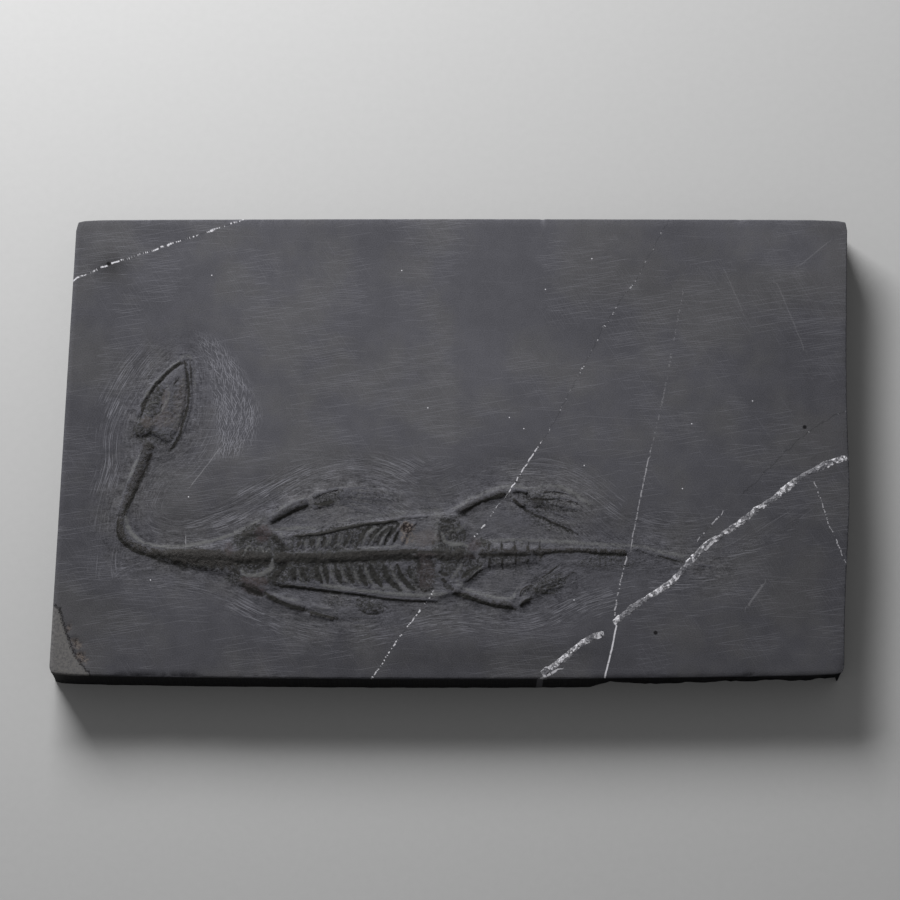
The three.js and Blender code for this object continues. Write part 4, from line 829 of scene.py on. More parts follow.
# How strongly each pattern shows in the colour, from 0 to 1
CLOUD_TONE = 0.15
BLOTCH_TONE = 0.04
GRAIN_TONE = 0.14
FINE_TONE = 0.18
SPECKLE_TONE = 0.22
SMEAR_TONE = 0.14
FURROW_SHADE = 0.22
LINE_POWDER = 0.65
FAN_POWDER = 0.85
MOST_DASHES = 0.85
STROKES_BROKEN = 0.45
LIGHT_ON_ROCK = 0.7
LIGHT_ON_BONE = 0.75
DARK_STRENGTH = 0.93
PURPLE_STRENGTH = 0.85
BROWN_STRENGTH = 0.65
RUST_PALE_STRENGTH = 0.8
RUST_DARK_STRENGTH = 0.95
STAINS_ON_BONE = 0.8
HAIR_SHADE = 0.45
CRACK_SHADE = 0.75
PIT_STRENGTH = 0.85
SIDE_VEIN_STRENGTH = 0.6
PALE_EDGE_STRENGTH = 0.3
VEIN_DIRT = 0.8

# The face is most uneven beside the bones and grows smoother in two steps, between these distances
UNEVEN_NEAR_BONE = [(5, 15), (1, 6)]
UNEVEN_STEP = 0.7

# Heights of the bumps that only the materials draw, and each material's roughness and sheen
GRAIN_BUMP = 0.06
MOTTLE_BUMP = 0.3
STROKE_BUMP = 0.12
FINE_BUMP = 0.12
CALCITE_BUMP = 0.15
FLOOR_BUMP = 0.01
ROCK_ROUGHNESS = (0.62, 0.8)
BONE_ROUGHNESS = (0.55, 0.8)
CALCITE_ROUGHNESS = (0.4, 0.65)
FLOOR_ROUGHNESS = 0.9
ROCK_SHEEN = 0.05
BONE_SHEEN = 0.1
CALCITE_SHEEN = 0.3
FLOOR_SHEEN = 0.2

# Large whole numbers that scatter the values of the noise
SCATTERING = (73856093, 19349663, 83492791, 1274126177)


# Small helpers


def midlines(bands, width, strength):
    """Lines half way between neighbouring bands that have the same number of points."""
    pairs = [pair for pair in zip(bands, bands[1:]) if len(pair[0]) == len(pair[1])]
    return [(list(map(tuple, np.mean(pair, axis=0))), width, strength) for pair in pairs]


def smoothstep(value, low, high):
    share = np.clip((value - low) / (high - low), 0, 1)
    return share * share * (3 - 2 * share)


def lerp(a, b, share):
    return a + (b - a) * share


def lattice_value(column, row, seed):
    """A repeatable value from -1 to 1 for each crossing of a whole-number grid."""
    by_column, by_row, by_seed, by_all = SCATTERING
    mixed = column.astype(np.int64) * by_column ^ row.astype(np.int64) * by_row ^ seed * by_seed
    mixed = (mixed ^ (mixed >> 13)) * by_all
    return ((mixed >> 8) & 0xFFFF) / (0xFFFF / 2) - 1


def noise(x, y, seed):
    """Smooth noise from -1 to 1 that changes about once per unit. Each use has a seed of its own."""
    column, row = np.floor(x), np.floor(y)
    across, up = smoothstep(x - column, 0, 1), smoothstep(y - row, 0, 1)
    low = lerp(lattice_value(column, row, seed), lattice_value(column + 1, row, seed), across)
    high = lerp(lattice_value(column, row + 1, seed), lattice_value(column + 1, row + 1, seed), across)
    return lerp(low, high, up)


def rough(x, y, seed, octaves=3):
    """Noise with finer noise on it, about -1 to 1."""
    total = sum(noise(x * 2**n, y * 2**n, seed + n) / 2**n for n in range(octaves))
    return total / 1.4


def rounded(points, times=1):
    """A line of points with its corners cut off, so that it bends smoothly."""
    points = np.array(points, float)
    for _ in range(times):
        near = lerp(points[:-1], points[1:], 0.25)
        far = lerp(points[:-1], points[1:], 0.75)
        between = np.stack([near, far], axis=1).reshape(-1, 2)
        points = np.vstack([points[:1], between, points[-1:]])
    return points


def along_route(points, x, y):
    """Signed distance from a line of points, positive on its left, and how far along it."""
    nearest = np.full(x.shape, np.inf)
    signed = np.zeros(x.shape)
    along = np.zeros(x.shape)
    passed = 0.0
    for (x0, y0), (x1, y1) in zip(points, points[1:]):
        dx, dy = x1 - x0, y1 - y0
        length = math.hypot(dx, dy)
        share = ((x - x0) * dx + (y - y0) * dy) / length**2
        held = np.clip(share, 0, 1)
        distance = np.hypot(x - x0 - held * dx, y - y0 - held * dy)
        side = np.where(dx * (y - y0) < dy * (x - x0), -1, 1)
        closer = distance < nearest
        nearest = np.where(closer, distance, nearest)
        signed = np.where(closer, distance * side, signed)
        along = np.where(closer, passed + held * length, along)
        passed += length
    return signed, along


def depth_inside(outline, x, y):
    """Distance from a closed outline, positive inside it."""
    closed = [*outline, outline[0]]
    inside = np.zeros(x.shape, bool)
    for (x0, y0), (x1, y1) in zip(closed, closed[1:]):
        if y0 != y1:
            passes = (y0 > y) != (y1 > y)
            inside ^= passes & (x < x0 + (y - y0) * (x1 - x0) / (y1 - y0))
    return np.where(inside, 1, -1) * np.abs(along_route(closed, x, y)[0])


def ovals(places, x, y):
    """Soft ovals with ragged edges, each [middle, half sizes, turn in degrees, strength]."""
    field = np.zeros(x.shape)
    ragged = OVAL_RAGGED * rough(x * 0.6, y * 0.6, 11)
    for (middle_x, middle_y), (wide, high), turn, strength in places:
        angle = math.radians(turn)
        dx, dy = x - middle_x, y - middle_y
        across = (dx * math.cos(angle) + dy * math.sin(angle)) / wide
        up = (dy * math.cos(angle) - dx * math.sin(angle)) / high
        faded = smoothstep(np.hypot(across, up) + ragged, *OVAL_FADE)
        field = np.maximum(field, strength * (1 - faded))
    return field


def value_for(bone, table, otherwise=1):
    """The value of the longest name in a table that the bone's name starts with."""
    names = [name for name in table if bone.startswith(name)]
    return table[max(names, key=len)] if names else otherwise


# Fields: values on a fine grid over the skeleton's part of the face

low_corner = np.min([box_of(bone)[0] for bone in BONES], axis=0) - GRID_MARGIN
high_corner = np.max([box_of(bone)[1] for bone in BONES], axis=0) + GRID_MARGIN
FIELD_X, FIELD_Y = np.meshgrid(
    np.arange(low_corner[0], high_corner[0], CELL), np.arange(low_corner[1], high_corner[1], CELL)
)


def sampled(field, x, y, origin=low_corner, cell=CELL):
    """A field's values at any places, held at its border outside it."""
    across = np.clip((x - origin[0]) / cell, 0, field.shape[1] - 1.001)
    up = np.clip((y - origin[1]) / cell, 0, field.shape[0] - 1.001)
    column, row = across.astype(int), up.astype(int)
    across, up = across - column, up - row
    low = lerp(field[row, column], field[row, column + 1], across)
    high = lerp(field[row + 1, column], field[row + 1, column + 1], across)
    return lerp(low, high, up)


def blurred(field, radius, cell=CELL):
    reach = int(math.ceil(3 * radius / cell))
    kernel = np.exp(-0.5 * (np.arange(-reach, reach + 1) * cell / radius) ** 2)
    kernel /= kernel.sum()
    field = np.pad(field, reach, mode="edge")
    for axis in (0, 1):
        field = np.apply_along_axis(np.convolve, axis, field, kernel, "valid")
    return field


def window_round(low, high, reach):
    """The part of the fields' grid that lies within reach of a box."""
    first = (np.array(low[:2]) - reach - low_corner[:2]) / CELL
    last = (np.array(high[:2]) + reach - low_corner[:2]) / CELL + 2
    columns, rows = (slice(max(int(start), 0), max(int(stop), 0)) for start, stop in zip(first, last))
    return rows, columns


def painted(groups):
    """A field of soft, slightly ragged lines from groups of [points, width, strength]."""
    field = np.zeros(FIELD_X.shape)
    for points, width, strength in (stroke for group in groups.values() for stroke in group):
        window = window_round(np.min(points, axis=0), np.max(points, axis=0), 1.5 * width)
        x, y = FIELD_X[window], FIELD_Y[window]
        route = rounded(points)
        signed, along = along_route(route, x, y)
        length = np.sum(np.hypot(*np.diff(route, axis=0).T))
        from_end = np.minimum(along, length - along)
        tapered = smoothstep(from_end, 0, min(STROKE_TAPER, STROKE_TAPER_SHARE * length))
        ragged = STROKE_RAGGED * width * rough(x * 1.2, y * 1.2, 5)
        away = (np.abs(signed) + ragged) / lerp(STROKE_TIP, 1, tapered)
        shown = 1 - smoothstep(away, STROKE_CORE * width, width)
        uneven = 1 - STROKE_UNEVEN * (1 - noise(along * STROKE_UNEVEN_SCALE, along * 0, 6))
        field[window] = np.maximum(field[window], strength * uneven * shown)
    return field


def hit_below(node):
    """A function that gives the top of a CAD solid under a place, or None beside it."""
    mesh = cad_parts[node].data
    corners = [vertex.co / MM for vertex in mesh.vertices]
    tree = BVHTree.FromPolygons(corners, [polygon.vertices for polygon in mesh.polygons])
    start, down = FACE + RAY_HEIGHT, Vector((0, 0, -1))
    return lambda x, y: tree.ray_cast(Vector((x, y, start)), down)[0]


def widened(heights, reach):
    """Heights spread sideways, so that bones that only just part in the CAD model touch."""
    steps = range(-reach, reach + 1)
    moves = [(row, column) for row in steps for column in steps if math.hypot(row, column) <= reach]
    return np.max([np.roll(heights, move, (0, 1)) for move in moves], axis=0)


def cast_down(bone):
    """The top of a CAD bone above the floor, as a field, with the window of the grid that it covers."""
    window = window_round(*box_of(bone), 1)
    xs, ys = FIELD_X[window], FIELD_Y[window]
    heights = np.zeros(xs.shape)
    top_at = hit_below(bone)
    for place in np.ndindex(xs.shape):
        hit = top_at(xs[place], ys[place])
        if hit is not None:
            heights[place] = hit.z - FLOOR
    return window, widened(heights, value_for(bone, WIDENED, 0))


CASTS = {bone: cast_down(bone) for bone in BONES}


def all_heights():
    field = np.zeros(FIELD_X.shape)
    for bone, (window, heights) in CASTS.items():
        low = blurred(heights * value_for(bone, FLATTENED), value_for(bone, SOFTNESS, BONE_SOFTNESS))
        field[window] = np.maximum(field[window], low)
    return field


def skirts(heights):
    """The rock that rises to each bone, gently on the side that faces the light."""
    stride = 2
    steps = int(SKIRT_REACH / (CELL * stride))
    rock = heights.copy()
    for row in range(-steps, steps + 1):
        for column in range(-steps, steps + 1):
            offset = Vector((column, row)) * CELL * stride
            if 0 < offset.length <= SKIRT_REACH:
                facing = 0.5 + 0.5 * offset.normalized().dot(LIGHT_FROM)
                fall = offset.length * lerp(SKIRT_FALL_SHADED, SKIRT_FALL_LIT, facing)
                moved = np.roll(heights, (row * stride, column * stride), (0, 1))
                rock = np.maximum(rock, moved - fall)
    return blurred(rock, SKIRT_SOFTNESS)


def facing_light(heights):
    """How steeply each place slopes down towards the light, from -1 to 1."""
    up, across = np.gradient(blurred(heights, SLOPE_SOFTNESS), CELL)
    return np.clip(-(across * LIGHT_FROM.x + up * LIGHT_FROM.y), -1, 1)


BONE_HEIGHTS = all_heights()
COVER = (BONE_HEIGHTS > COVERED_FROM).astype(float)
FACING = facing_light(BONE_HEIGHTS)
MOUND = np.maximum(
    smoothstep(depth_inside(BODY_OUTLINE, FIELD_X, FIELD_Y), *MOUND_EDGE),
    NAPE_SHARE * smoothstep(depth_inside(NAPE_OUTLINE, FIELD_X, FIELD_Y), *NAPE_EDGE),
)
LIMB_MOUND = np.max([
    1 - smoothstep(np.abs(along_route(rounded(line), FIELD_X, FIELD_Y)[0]), *LIMB_MOUND_EDGE)
    for line in LIMB_LINES
], axis=0)
LIGHT_STROKES["between upper ribs"] = midlines(UPPER_RIB_BANDS, 0.9, 0.95)
LIGHT_STROKES["between lower ribs"] = midlines(LOWER_RIB_BANDS, 0.8, 0.85)
# Painted highlight on slopes that face the light, weaker on the bones, and painted shade on slopes turned
# from it, joined with the painted strokes
LIT_SLOPES = SLOPE_LIGHT * np.clip(FACING, 0, 1) * (1 - SLOPE_LIGHT_LOST_ON_BONE * COVER)
LIGHT = np.maximum(painted(LIGHT_STROKES), LIT_SLOPES)
DARK = np.maximum(painted(DARK_STROKES), SLOPE_SHADE * np.clip(-FACING, 0, 1))
PURPLE = ovals(PURPLE_PATCHES, FIELD_X, FIELD_Y)
RUST = ovals(RUST_PATCHES, FIELD_X, FIELD_Y)
BROWN = ovals(BROWN_PATCHES, FIELD_X, FIELD_Y)
CARPET = CARPET_ROUND_BONES * blurred(COVER, CARPET_SPREAD) + CARPET_ON_LIMBS * LIMB_MOUND
CARPET = np.clip(CARPET + ovals(CARPET_PATCHES, FIELD_X, FIELD_Y), 0, 1)
RISE = (
    skirts(blurred(BONE_HEIGHTS, SKIRT_SOFTNESS) * ROCK_SHARE)
    + MOUND_HEIGHT * MOUND + LIMB_MOUND_HEIGHT * LIMB_MOUND + SWELL_HEIGHT * blurred(COVER, SWELL_REACH)
    + RIDGE_HEIGHT * LIGHT - GROOVE_DEPTH * blurred(DARK, 0.3)
)


# The wider face, on a coarser grid over the whole slab

WIDE_CELL = 1.0
wide_corner = SLAB_LOW[:2] - 2
WIDE_X, WIDE_Y = np.meshgrid(
    np.arange(wide_corner[0], SLAB_HIGH[0] + 3, WIDE_CELL),
    np.arange(wide_corner[1], SLAB_HIGH[1] + 3, WIDE_CELL),
)


def distances_to_bones():
    rows, columns = np.nonzero(BONE_HEIGHTS > 0.05)
    tree = KDTree(len(rows[::3]))
    for number, (row, column) in enumerate(zip(rows[::3], columns[::3])):
        tree.insert((FIELD_X[row, column], FIELD_Y[row, column], 0), number)
    tree.balance()
    places = zip(WIDE_X.ravel(), WIDE_Y.ravel())
    return np.array([tree.find((x, y, 0))[2] for x, y in places]).reshape(WIDE_X.shape)


def wide(field, x, y):
    return sampled(field, x, y, wide_corner, WIDE_CELL)


BONE_DISTANCE = distances_to_bones()
scrape_side, SCRAPE_ALONG = along_route(rounded(SCRAPE_LINE, 2), WIDE_X, WIDE_Y)
SCRAPE_AWAY = blurred(np.abs(scrape_side), 1.5, WIDE_CELL)
SCRAPE_STRENGTH = ovals(LONG_MARKS, WIDE_X, WIDE_Y) * smoothstep(BONE_DISTANCE, *MARKS_FROM_BONE)
SCRAPE_STRENGTH = blurred(SCRAPE_STRENGTH * smoothstep(SCRAPE_AWAY, *MARKS_FROM_LINE), 1, WIDE_CELL)
CLOUDS = blurred(ovals(PALE_CLOUDS, WIDE_X, WIDE_Y) - ovals(DARK_CLOUDS, WIDE_X, WIDE_Y), 3, WIDE_CELL)
FAN = smoothstep(depth_inside(FAN_OUTLINE, WIDE_X, WIDE_Y), *FAN_EDGE)


def marks_at(x, y):
    """Tool marks run round the skeleton: distance from the scraping tool's line, way along it, strength."""
    return wide(SCRAPE_AWAY, x, y), wide(SCRAPE_ALONG, x, y), wide(SCRAPE_STRENGTH, x, y)


def hair_at(x, y):
    """The nearest hairline vein: distance from it, way along it, strength, half width and fill."""
    nearest = np.full(x.shape, np.inf)
    found = np.zeros((5, *x.shape))
    for number, (points, half_width, strength, fill) in enumerate(HAIR_VEINS.values()):
        signed, along = along_route(points, x, y)
        away = np.abs(signed)
        shown = strength * (1 - smoothstep(away, *HAIR_EDGE))
        form = [signed, along + HAIR_STEP * number, shown, half_width + 0 * x, fill + 0 * x]
        found = np.where(away < nearest, form, found)
        nearest = np.minimum(away, nearest)
    return found


def rock_at(x, y):
    """Height of the rock's surface at any place on the slab's face."""
    hollow = HOLLOW_DEPTH * (1 - smoothstep(wide(BONE_DISTANCE, x, y), *HOLLOW_REACH))
    outward, along, strength = marks_at(x, y)
    furrows = noise(outward * 1.1, along * 0.12, 41) + 0.6 * noise(outward * 2.1, along * 0.2, 42)
    lumps = rough(x * 0.8, y * 0.8, 51) * sampled(CARPET, x, y)
    waves = rough(x * 0.03, y * 0.05, 61) - 1
    raised = sampled(RISE, x, y) + FURROW_DEPTH * furrows * strength + LUMP_HEIGHT * lumps
    return FACE - hollow + raised - CORNER_PIT_DEPTH * ovals(CORNER_PITS, x, y) + WAVE_HEIGHT * waves


# Meshes


def new_piece(name, corners, faces, node, material):
    """A mesh object from corners in millimetres, put in the frame in place of a CAD node."""
    mesh = bpy.data.meshes.new(name)
    held = np.clip(corners, CAD_LOW, CAD_HIGH)
    mesh.from_pydata((held * MM).tolist(), [], faces)
    mesh.update()
    mesh.shade_smooth()
    piece = bpy.data.objects.new(name, mesh)
    bpy.context.scene.collection.objects.link(piece)
    mesh.materials.append(material)
    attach(piece, "root")
    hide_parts(node)
    return piece


def paint(piece, name, first, second=0, third=0):
    """Stores three values at each corner of a piece, for its material to read."""
    count = len(piece.data.vertices)
    values = np.empty((count, 3), np.float32)
    for number, value in enumerate((first, second, third)):
        values[:, number] = value
    attribute = piece.data.attributes.new(name, "FLOAT_VECTOR", "POINT")
    attribute.data.foreach_set("vector", values.ravel())


def paint_fields(piece, x, y):
    """The colour fields that the rock and the bones share, painted highlight and painted shade among them.
    """
    paint(piece, "tint_and_shading", sampled(LIGHT, x, y), sampled(DARK, x, y), sampled(CARPET, x, y))
    paint(piece, "stain", sampled(PURPLE, x, y), sampled(RUST, x, y), sampled(BROWN, x, y))


def used_corners(cells):
    """Which crossings of a grid the chosen cells touch."""
    rows, columns = cells.shape
    used = np.zeros((rows + 1, columns + 1), bool)
    for row, column in ((0, 0), (0, 1), (1, 0), (1, 1)):
        used[row : row + rows, column : column + columns] |= cells
    return used


def cells_near(near):
    """The cells of a grid that have at least one chosen crossing."""
    return near[:-1, :-1] | near[1:, :-1] | near[:-1, 1:] | near[1:, 1:]


def closed_patch(xs, ys, top, bottom, cells):
    """Corners and faces of a closed body whose top covers the chosen cells of a grid."""
    used = used_corners(cells)
    number = np.cumsum(used.ravel()).reshape(used.shape) - 1
    count = int(used.sum())
    upper = np.column_stack([xs[used], ys[used], top[used]])
    lower = np.column_stack([xs[used], ys[used], bottom[used]])
    faces = []
    for row, column in zip(*np.nonzero(cells)):
        ring = [(row, column), (row, column + 1), (row + 1, column + 1), (row + 1, column)]
        a, b, c, d = (int(number[place]) for place in ring)
        faces.append((a, b, c, d))
        faces.append((d + count, c + count, b + count, a + count))
        beside = [(row - 1, column), (row, column + 1), (row + 1, column), (row, column - 1)]
        for (near, far), (r, k) in zip(((a, b), (b, c), (c, d), (d, a)), beside):
            inside = 0 <= r < cells.shape[0] and 0 <= k < cells.shape[1] and cells[r, k]
            if not inside:
                faces.append((near, near + count, far + count, far))
    return np.vstack([upper, lower]), faces


def add_bone(bone, material):
    """A bone as a closed patch that stands a little out of the rock, with its dust painted on, and painted
    highlight on its small raised bits and painted shade in its creases.
    """
    window, heights = CASTS[bone]
    xs, ys = FIELD_X[window], FIELD_Y[window]
    softness, kept = value_for(bone, SOFTNESS, BONE_SOFTNESS), value_for(bone, FLATTENED)
    cover = blurred((heights > 0).astype(float), softness)
    crisp = blurred(heights, softness) * kept
    inside = np.clip(2 * cover - 1 + BONE_RAGGED * rough(xs * 0.9, ys * 0.9, 72), -1, 1)
    within = np.clip(inside, 0, 1)
    grain = BONE_GRAIN * rough(xs * 1.3, ys * 1.3, 71)
    rim = BONE_RIM * np.clip(2.5 * kept, 0, 1)
    top = rock_at(xs, ys) + rim * inside + (BONE_SHARE * crisp + grain) * within
    top = np.minimum(top, CEILING)
    cells = cells_near(inside > -0.95)
    corners, faces = closed_patch(xs, ys, top, np.full(xs.shape, FLOOR - BONE_SUNK), cells)
    piece = new_piece(f"{bone}_fossil", corners, faces, bone, material)
    paint_fields(piece, corners[:, 0], corners[:, 1])
    used = used_corners(cells)
    # Raised bits get more dust value and creases less: painted highlight and painted shade
    relief_for_painted_shade = (crisp - blurred(heights, 0.7) * kept)[used]
    dust = value_for(bone, DUST) + 0.25 * relief_for_painted_shade
    paint(piece, "dust", np.tile(dust, 2), np.tile(1 - within[used], 2))


# The slab


def grid_lines(stops):
    """Places of grid lines, closer together where the stops say."""
    lines = []
    for (place, cell), (following, _) in zip(stops, stops[1:]):
        count = max(1, round((following - place) / cell))
        lines.extend(np.linspace(place, following, count, endpoint=False))
    lines.append(stops[-1][0])
    return np.array(lines)


def slab_outline():
    """The CAD slab's outline just below its chamfer, as four sides between its corners."""
    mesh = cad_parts["slab"].data
    corners = np.array([vertex.co for vertex in mesh.vertices]) / MM
    heights = np.round(corners[:, 2], 2)
    below = heights[(heights > FLOOR - 1) & (heights < FLOOR - 0.1)]
    levels, counts = np.unique(below, return_counts=True)
    ring = corners[heights == levels[np.argmax(counts)], :2]
    ring = np.unique(np.round(ring, 3), axis=0)
    ring = ring[np.argsort(np.arctan2(ring[:, 1] / SLAB_HIGH[1], ring[:, 0] / SLAB_HIGH[0]))]
    turns = [ring @ np.array(way) for way in ((-1, -1), (1, -1), (1, 1), (-1, 1))]
    ends = [int(np.argmax(turn)) for turn in turns]
    sides = []
    for first, last in zip(ends, ends[1:] + ends[:1]):
        count = (last - first) % len(ring)
        sides.append(ring[[(first + step) % len(ring) for step in range(count + 1)]])
    front, right, back, left = sides
    return front, right, back[::-1], left[::-1]


def point_on(side, share):
    """The point at a share of a side's length, for an array of shares."""
    steps = np.hypot(*np.diff(side, axis=0).T)
    passed = np.concatenate([[0], np.cumsum(steps)]) / steps.sum()
    return np.stack([np.interp(share, passed, side[:, axis]) for axis in (0, 1)], axis=-1)


def slab_places(columns, rows):
    """Where the grid's crossings fall between the slab's four sides."""
    front, right, back, left = slab_outline()
    u = (columns - columns[0]) / (columns[-1] - columns[0])
    v = (rows - rows[0]) / (rows[-1] - rows[0])
    across, up = u[None, :, None], v[:, None, None]
    between = lerp(point_on(front, u)[None], point_on(back, u)[None], up)
    beside = lerp(point_on(left, v)[:, None], point_on(right, v)[:, None], across)
    low = lerp(front[0], front[-1], across)
    high = lerp(back[0], back[-1], across)
    places = between + beside - lerp(low, high, up)
    return places[..., 0], places[..., 1]


def edge_wear(x, y, from_edge, on_front, on_back):
    """How far the rim is worn or chipped away, down from the face."""
    worn = EDGE_WEAR + EDGE_WEAR_VARIES * noise(x * EDGE_WEAR_SCALE, y * EDGE_WEAR_SCALE, 81)
    worn = worn * (1 - BACK_EDGE_SPARED * on_back)
    chips = CHIP_DEPTH * smoothstep(rough(x * 0.28, y * 0.28, 82), 0.45, 0.9)
    chipped = on_front * smoothstep(x, *CHIPPED_FROM) * (1 - smoothstep(x, *CHIPPED_TO))
    broken = on_front * smoothstep(x, *RIM_BROKEN_FROM)
    chipped_depth = chipped * (CHIPPED_DEPTH + CHIPPED_VARIES * rough(x * 0.8, y, 83))
    depth = worn + chips * (1 + 0.5 * broken) + chipped_depth
    reach = EDGE_REACH + 1.2 * chips + 1.1 * chipped + 0.6 * broken
    return depth * (1 - smoothstep(from_edge, 0, reach)) ** 1.5


def side_setback(x, y, depth, on_front):
    """How far the side stands back from the outline: sawn smooth, or broken on the front right."""
    down = depth / FACE
    across = x * SAW_MARK_SCALE + y * SAW_MARK_SCALE
    saw_marks = SAW_MARK_DEPTH * noise(across, depth * SAW_MARK_SCALE_DOWN, 91)
    sawn = SAWN_SETBACK + saw_marks + SAWN_HOLLOW * np.sin(math.pi * down)
    coarse = 0.5 + 0.5 * rough(x * 0.16, depth * 0.35, 92, 4)
    fine = 0.25 * rough(x * 0.9, depth, 93)
    broken = BREAK_SETBACK * smoothstep(down, 0, 0.3) * lerp(0.35, 1, coarse) + fine
    share = on_front * smoothstep(x, *SIDE_BROKEN_FROM)
    return np.maximum(lerp(sawn, broken, share), LEAST_SETBACK)


def slab_sides(rim, first_number):
    """Rings of corners down the slab's sides, and the faces between them."""
    along = np.roll(rim, -1, 0) - np.roll(rim, 1, 0)
    outward = np.stack([along[:, 1], -along[:, 0]], -1)
    outward /= np.linalg.norm(outward, axis=1)[:, None]
    on_front = smoothstep(-outward[:, 1], 0.7, 0.95)
    corners, numbers = [], [np.arange(len(rim)) + first_number]
    for level in range(1, SIDE_LEVELS + 1):
        depth = lerp(FACE - rim[:, 2], FACE, level / SIDE_LEVELS)
        ring = rim.copy()
        ring[:, :2] -= outward * side_setback(rim[:, 0], rim[:, 1], depth, on_front)[:, None]
        ring[:, 2] = FACE - depth
        corners.append(ring)
        numbers.append(numbers[-1] + len(rim))
    return np.vstack(corners), numbers


def pale_edge_band(distance, reach):
    """A paler band along an edge of the face, within its reach."""
    return 1 - smoothstep(distance, 0.35 * reach, reach)


def add_slab(material):
    """The face as a grid over the slab's outline, its sides as rings below the rim, and its underside."""
    columns, rows = grid_lines(COLUMN_STOPS), grid_lines(ROW_STOPS)
    x, y = slab_places(columns, rows)
    from_left, from_right = (columns - columns[0])[None, :], (columns[-1] - columns)[None, :]
    from_front, from_back = (rows - rows[0])[:, None], (rows[-1] - rows)[:, None]
    from_edge = np.minimum(np.minimum(from_left, from_right), np.minimum(from_front, from_back))
    on_front, on_back = (1 - smoothstep(away, *EDGE_BAND) for away in (from_front, from_back))
    height = rock_at(x, y) - edge_wear(x, y, from_edge, on_front, on_back)
    top = np.column_stack([x.ravel(), y.ravel(), height.ravel()])

    number = np.arange(len(top)).reshape(x.shape)
    quads = np.stack([number[:-1, :-1], number[:-1, 1:], number[1:, 1:], number[1:, :-1]], -1)
    faces = quads.reshape(-1, 4).tolist()
    rim = np.concatenate([number[0, :-1], number[:-1, -1], number[-1, :0:-1], number[:0:-1, 0]])
    sides, rings = slab_sides(top[rim], len(top) - len(rim))
    rings[0] = rim
    following = np.roll(np.arange(len(rim)), -1)
    for above, below in zip(rings, rings[1:]):
        faces.extend(np.stack([above, below, below[following], above[following]], -1).tolist())
    faces.append(rings[-1][::-1].tolist())
    corners = np.vstack([top, sides])

    piece = new_piece("shale_slab", corners, faces, "slab", material)
    faint = FAINT_PALE_EDGE * pale_edge_band(np.minimum(from_back, from_left), PALE_EDGE_REACH)
    paint_slab(piece, corners, np.maximum(faint, pale_edge_band(from_right, PALE_EDGE_REACH_RIGHT)))


def paint_slab(piece, corners, pale_edge):
    """The attributes that the slab's material reads, with the face's pale edge band given for each of its
    corners.
    """
    x, y = corners[:, 0], corners[:, 1]
    paint_fields(piece, x, y)
    paint(piece, "marks", *marks_at(x, y))
    is_side = np.arange(len(x)) >= pale_edge.size
    dust = np.zeros(len(x))
    dust[: pale_edge.size] = pale_edge.ravel()
    from_bone = wide(BONE_DISTANCE, x, y)
    nearness = sum(UNEVEN_STEP * (1 - smoothstep(from_bone, *step)) for step in UNEVEN_NEAR_BONE)
    paint(piece, "place", is_side, dust, nearness)
    paint(piece, "fan", *along_route(rounded(FAN_ROUTE, 2), x, y), wide(FAN, x, y))
    signed, along, strength, half_width, fill = hair_at(x, y)
    paint(piece, "hair", signed, along, strength)
    paint(piece, "hair_form", half_width, fill, along_route(CORNER_CRACK, x, y)[0])
    from_vein = along_route(VEIN_ON_FRONT, x, y)[0]
    paint(piece, "hidden", ovals(CORNER_PITS, x, y), from_vein, wide(CLOUDS, x, y))


# The calcite veins


def add_vein(node, material):
    """A strip of calcite, a little proud of the rock."""
    low, high = box_of(node)
    xs, ys = np.meshgrid(
        np.arange(low[0] - 1, high[0] + 1, VEIN_CELL), np.arange(low[1] - 1, high[1] + 1, VEIN_CELL)
    )
    ragged_x = xs + VEIN_RAGGED * rough(xs * 0.8, ys * 0.8, 111)
    ragged_y = ys + VEIN_RAGGED * rough(xs * 0.8, ys * 0.8, 112)
    there = np.zeros(xs.shape)
    top_at = hit_below(node)
    for place in np.ndindex(xs.shape):
        there[place] = top_at(ragged_x[place], ragged_y[place]) is not None
    inside = np.clip(2 * blurred(there, VEIN_SOFTNESS, VEIN_CELL) - 1.25, -1, 1)
    grains = rough(xs * 1.4, ys * 1.4, 101) * np.clip(inside * 2, 0, 1)
    top = rock_at(xs, ys) + VEIN_RISE * inside + VEIN_GRAIN * grains
    left, right, front = SLAB_LOW[0] + VEIN_MARGIN, SLAB_HIGH[0] - VEIN_MARGIN, SLAB_LOW[1] + VEIN_MARGIN
    cells = cells_near((inside > -0.9) & (xs > left) & (xs < right) & (ys > front))
    corners, faces = closed_patch(xs, ys, top, top - VEIN_DEPTH, cells)
    piece = new_piece(f"{node}_grains", corners, faces, node, material)
    dim = ovals(VEIN_DIM, corners[:, 0], corners[:, 1])
    paint(piece, "dim", dim, np.tile(inside[used_corners(cells)], 2))


# Materials


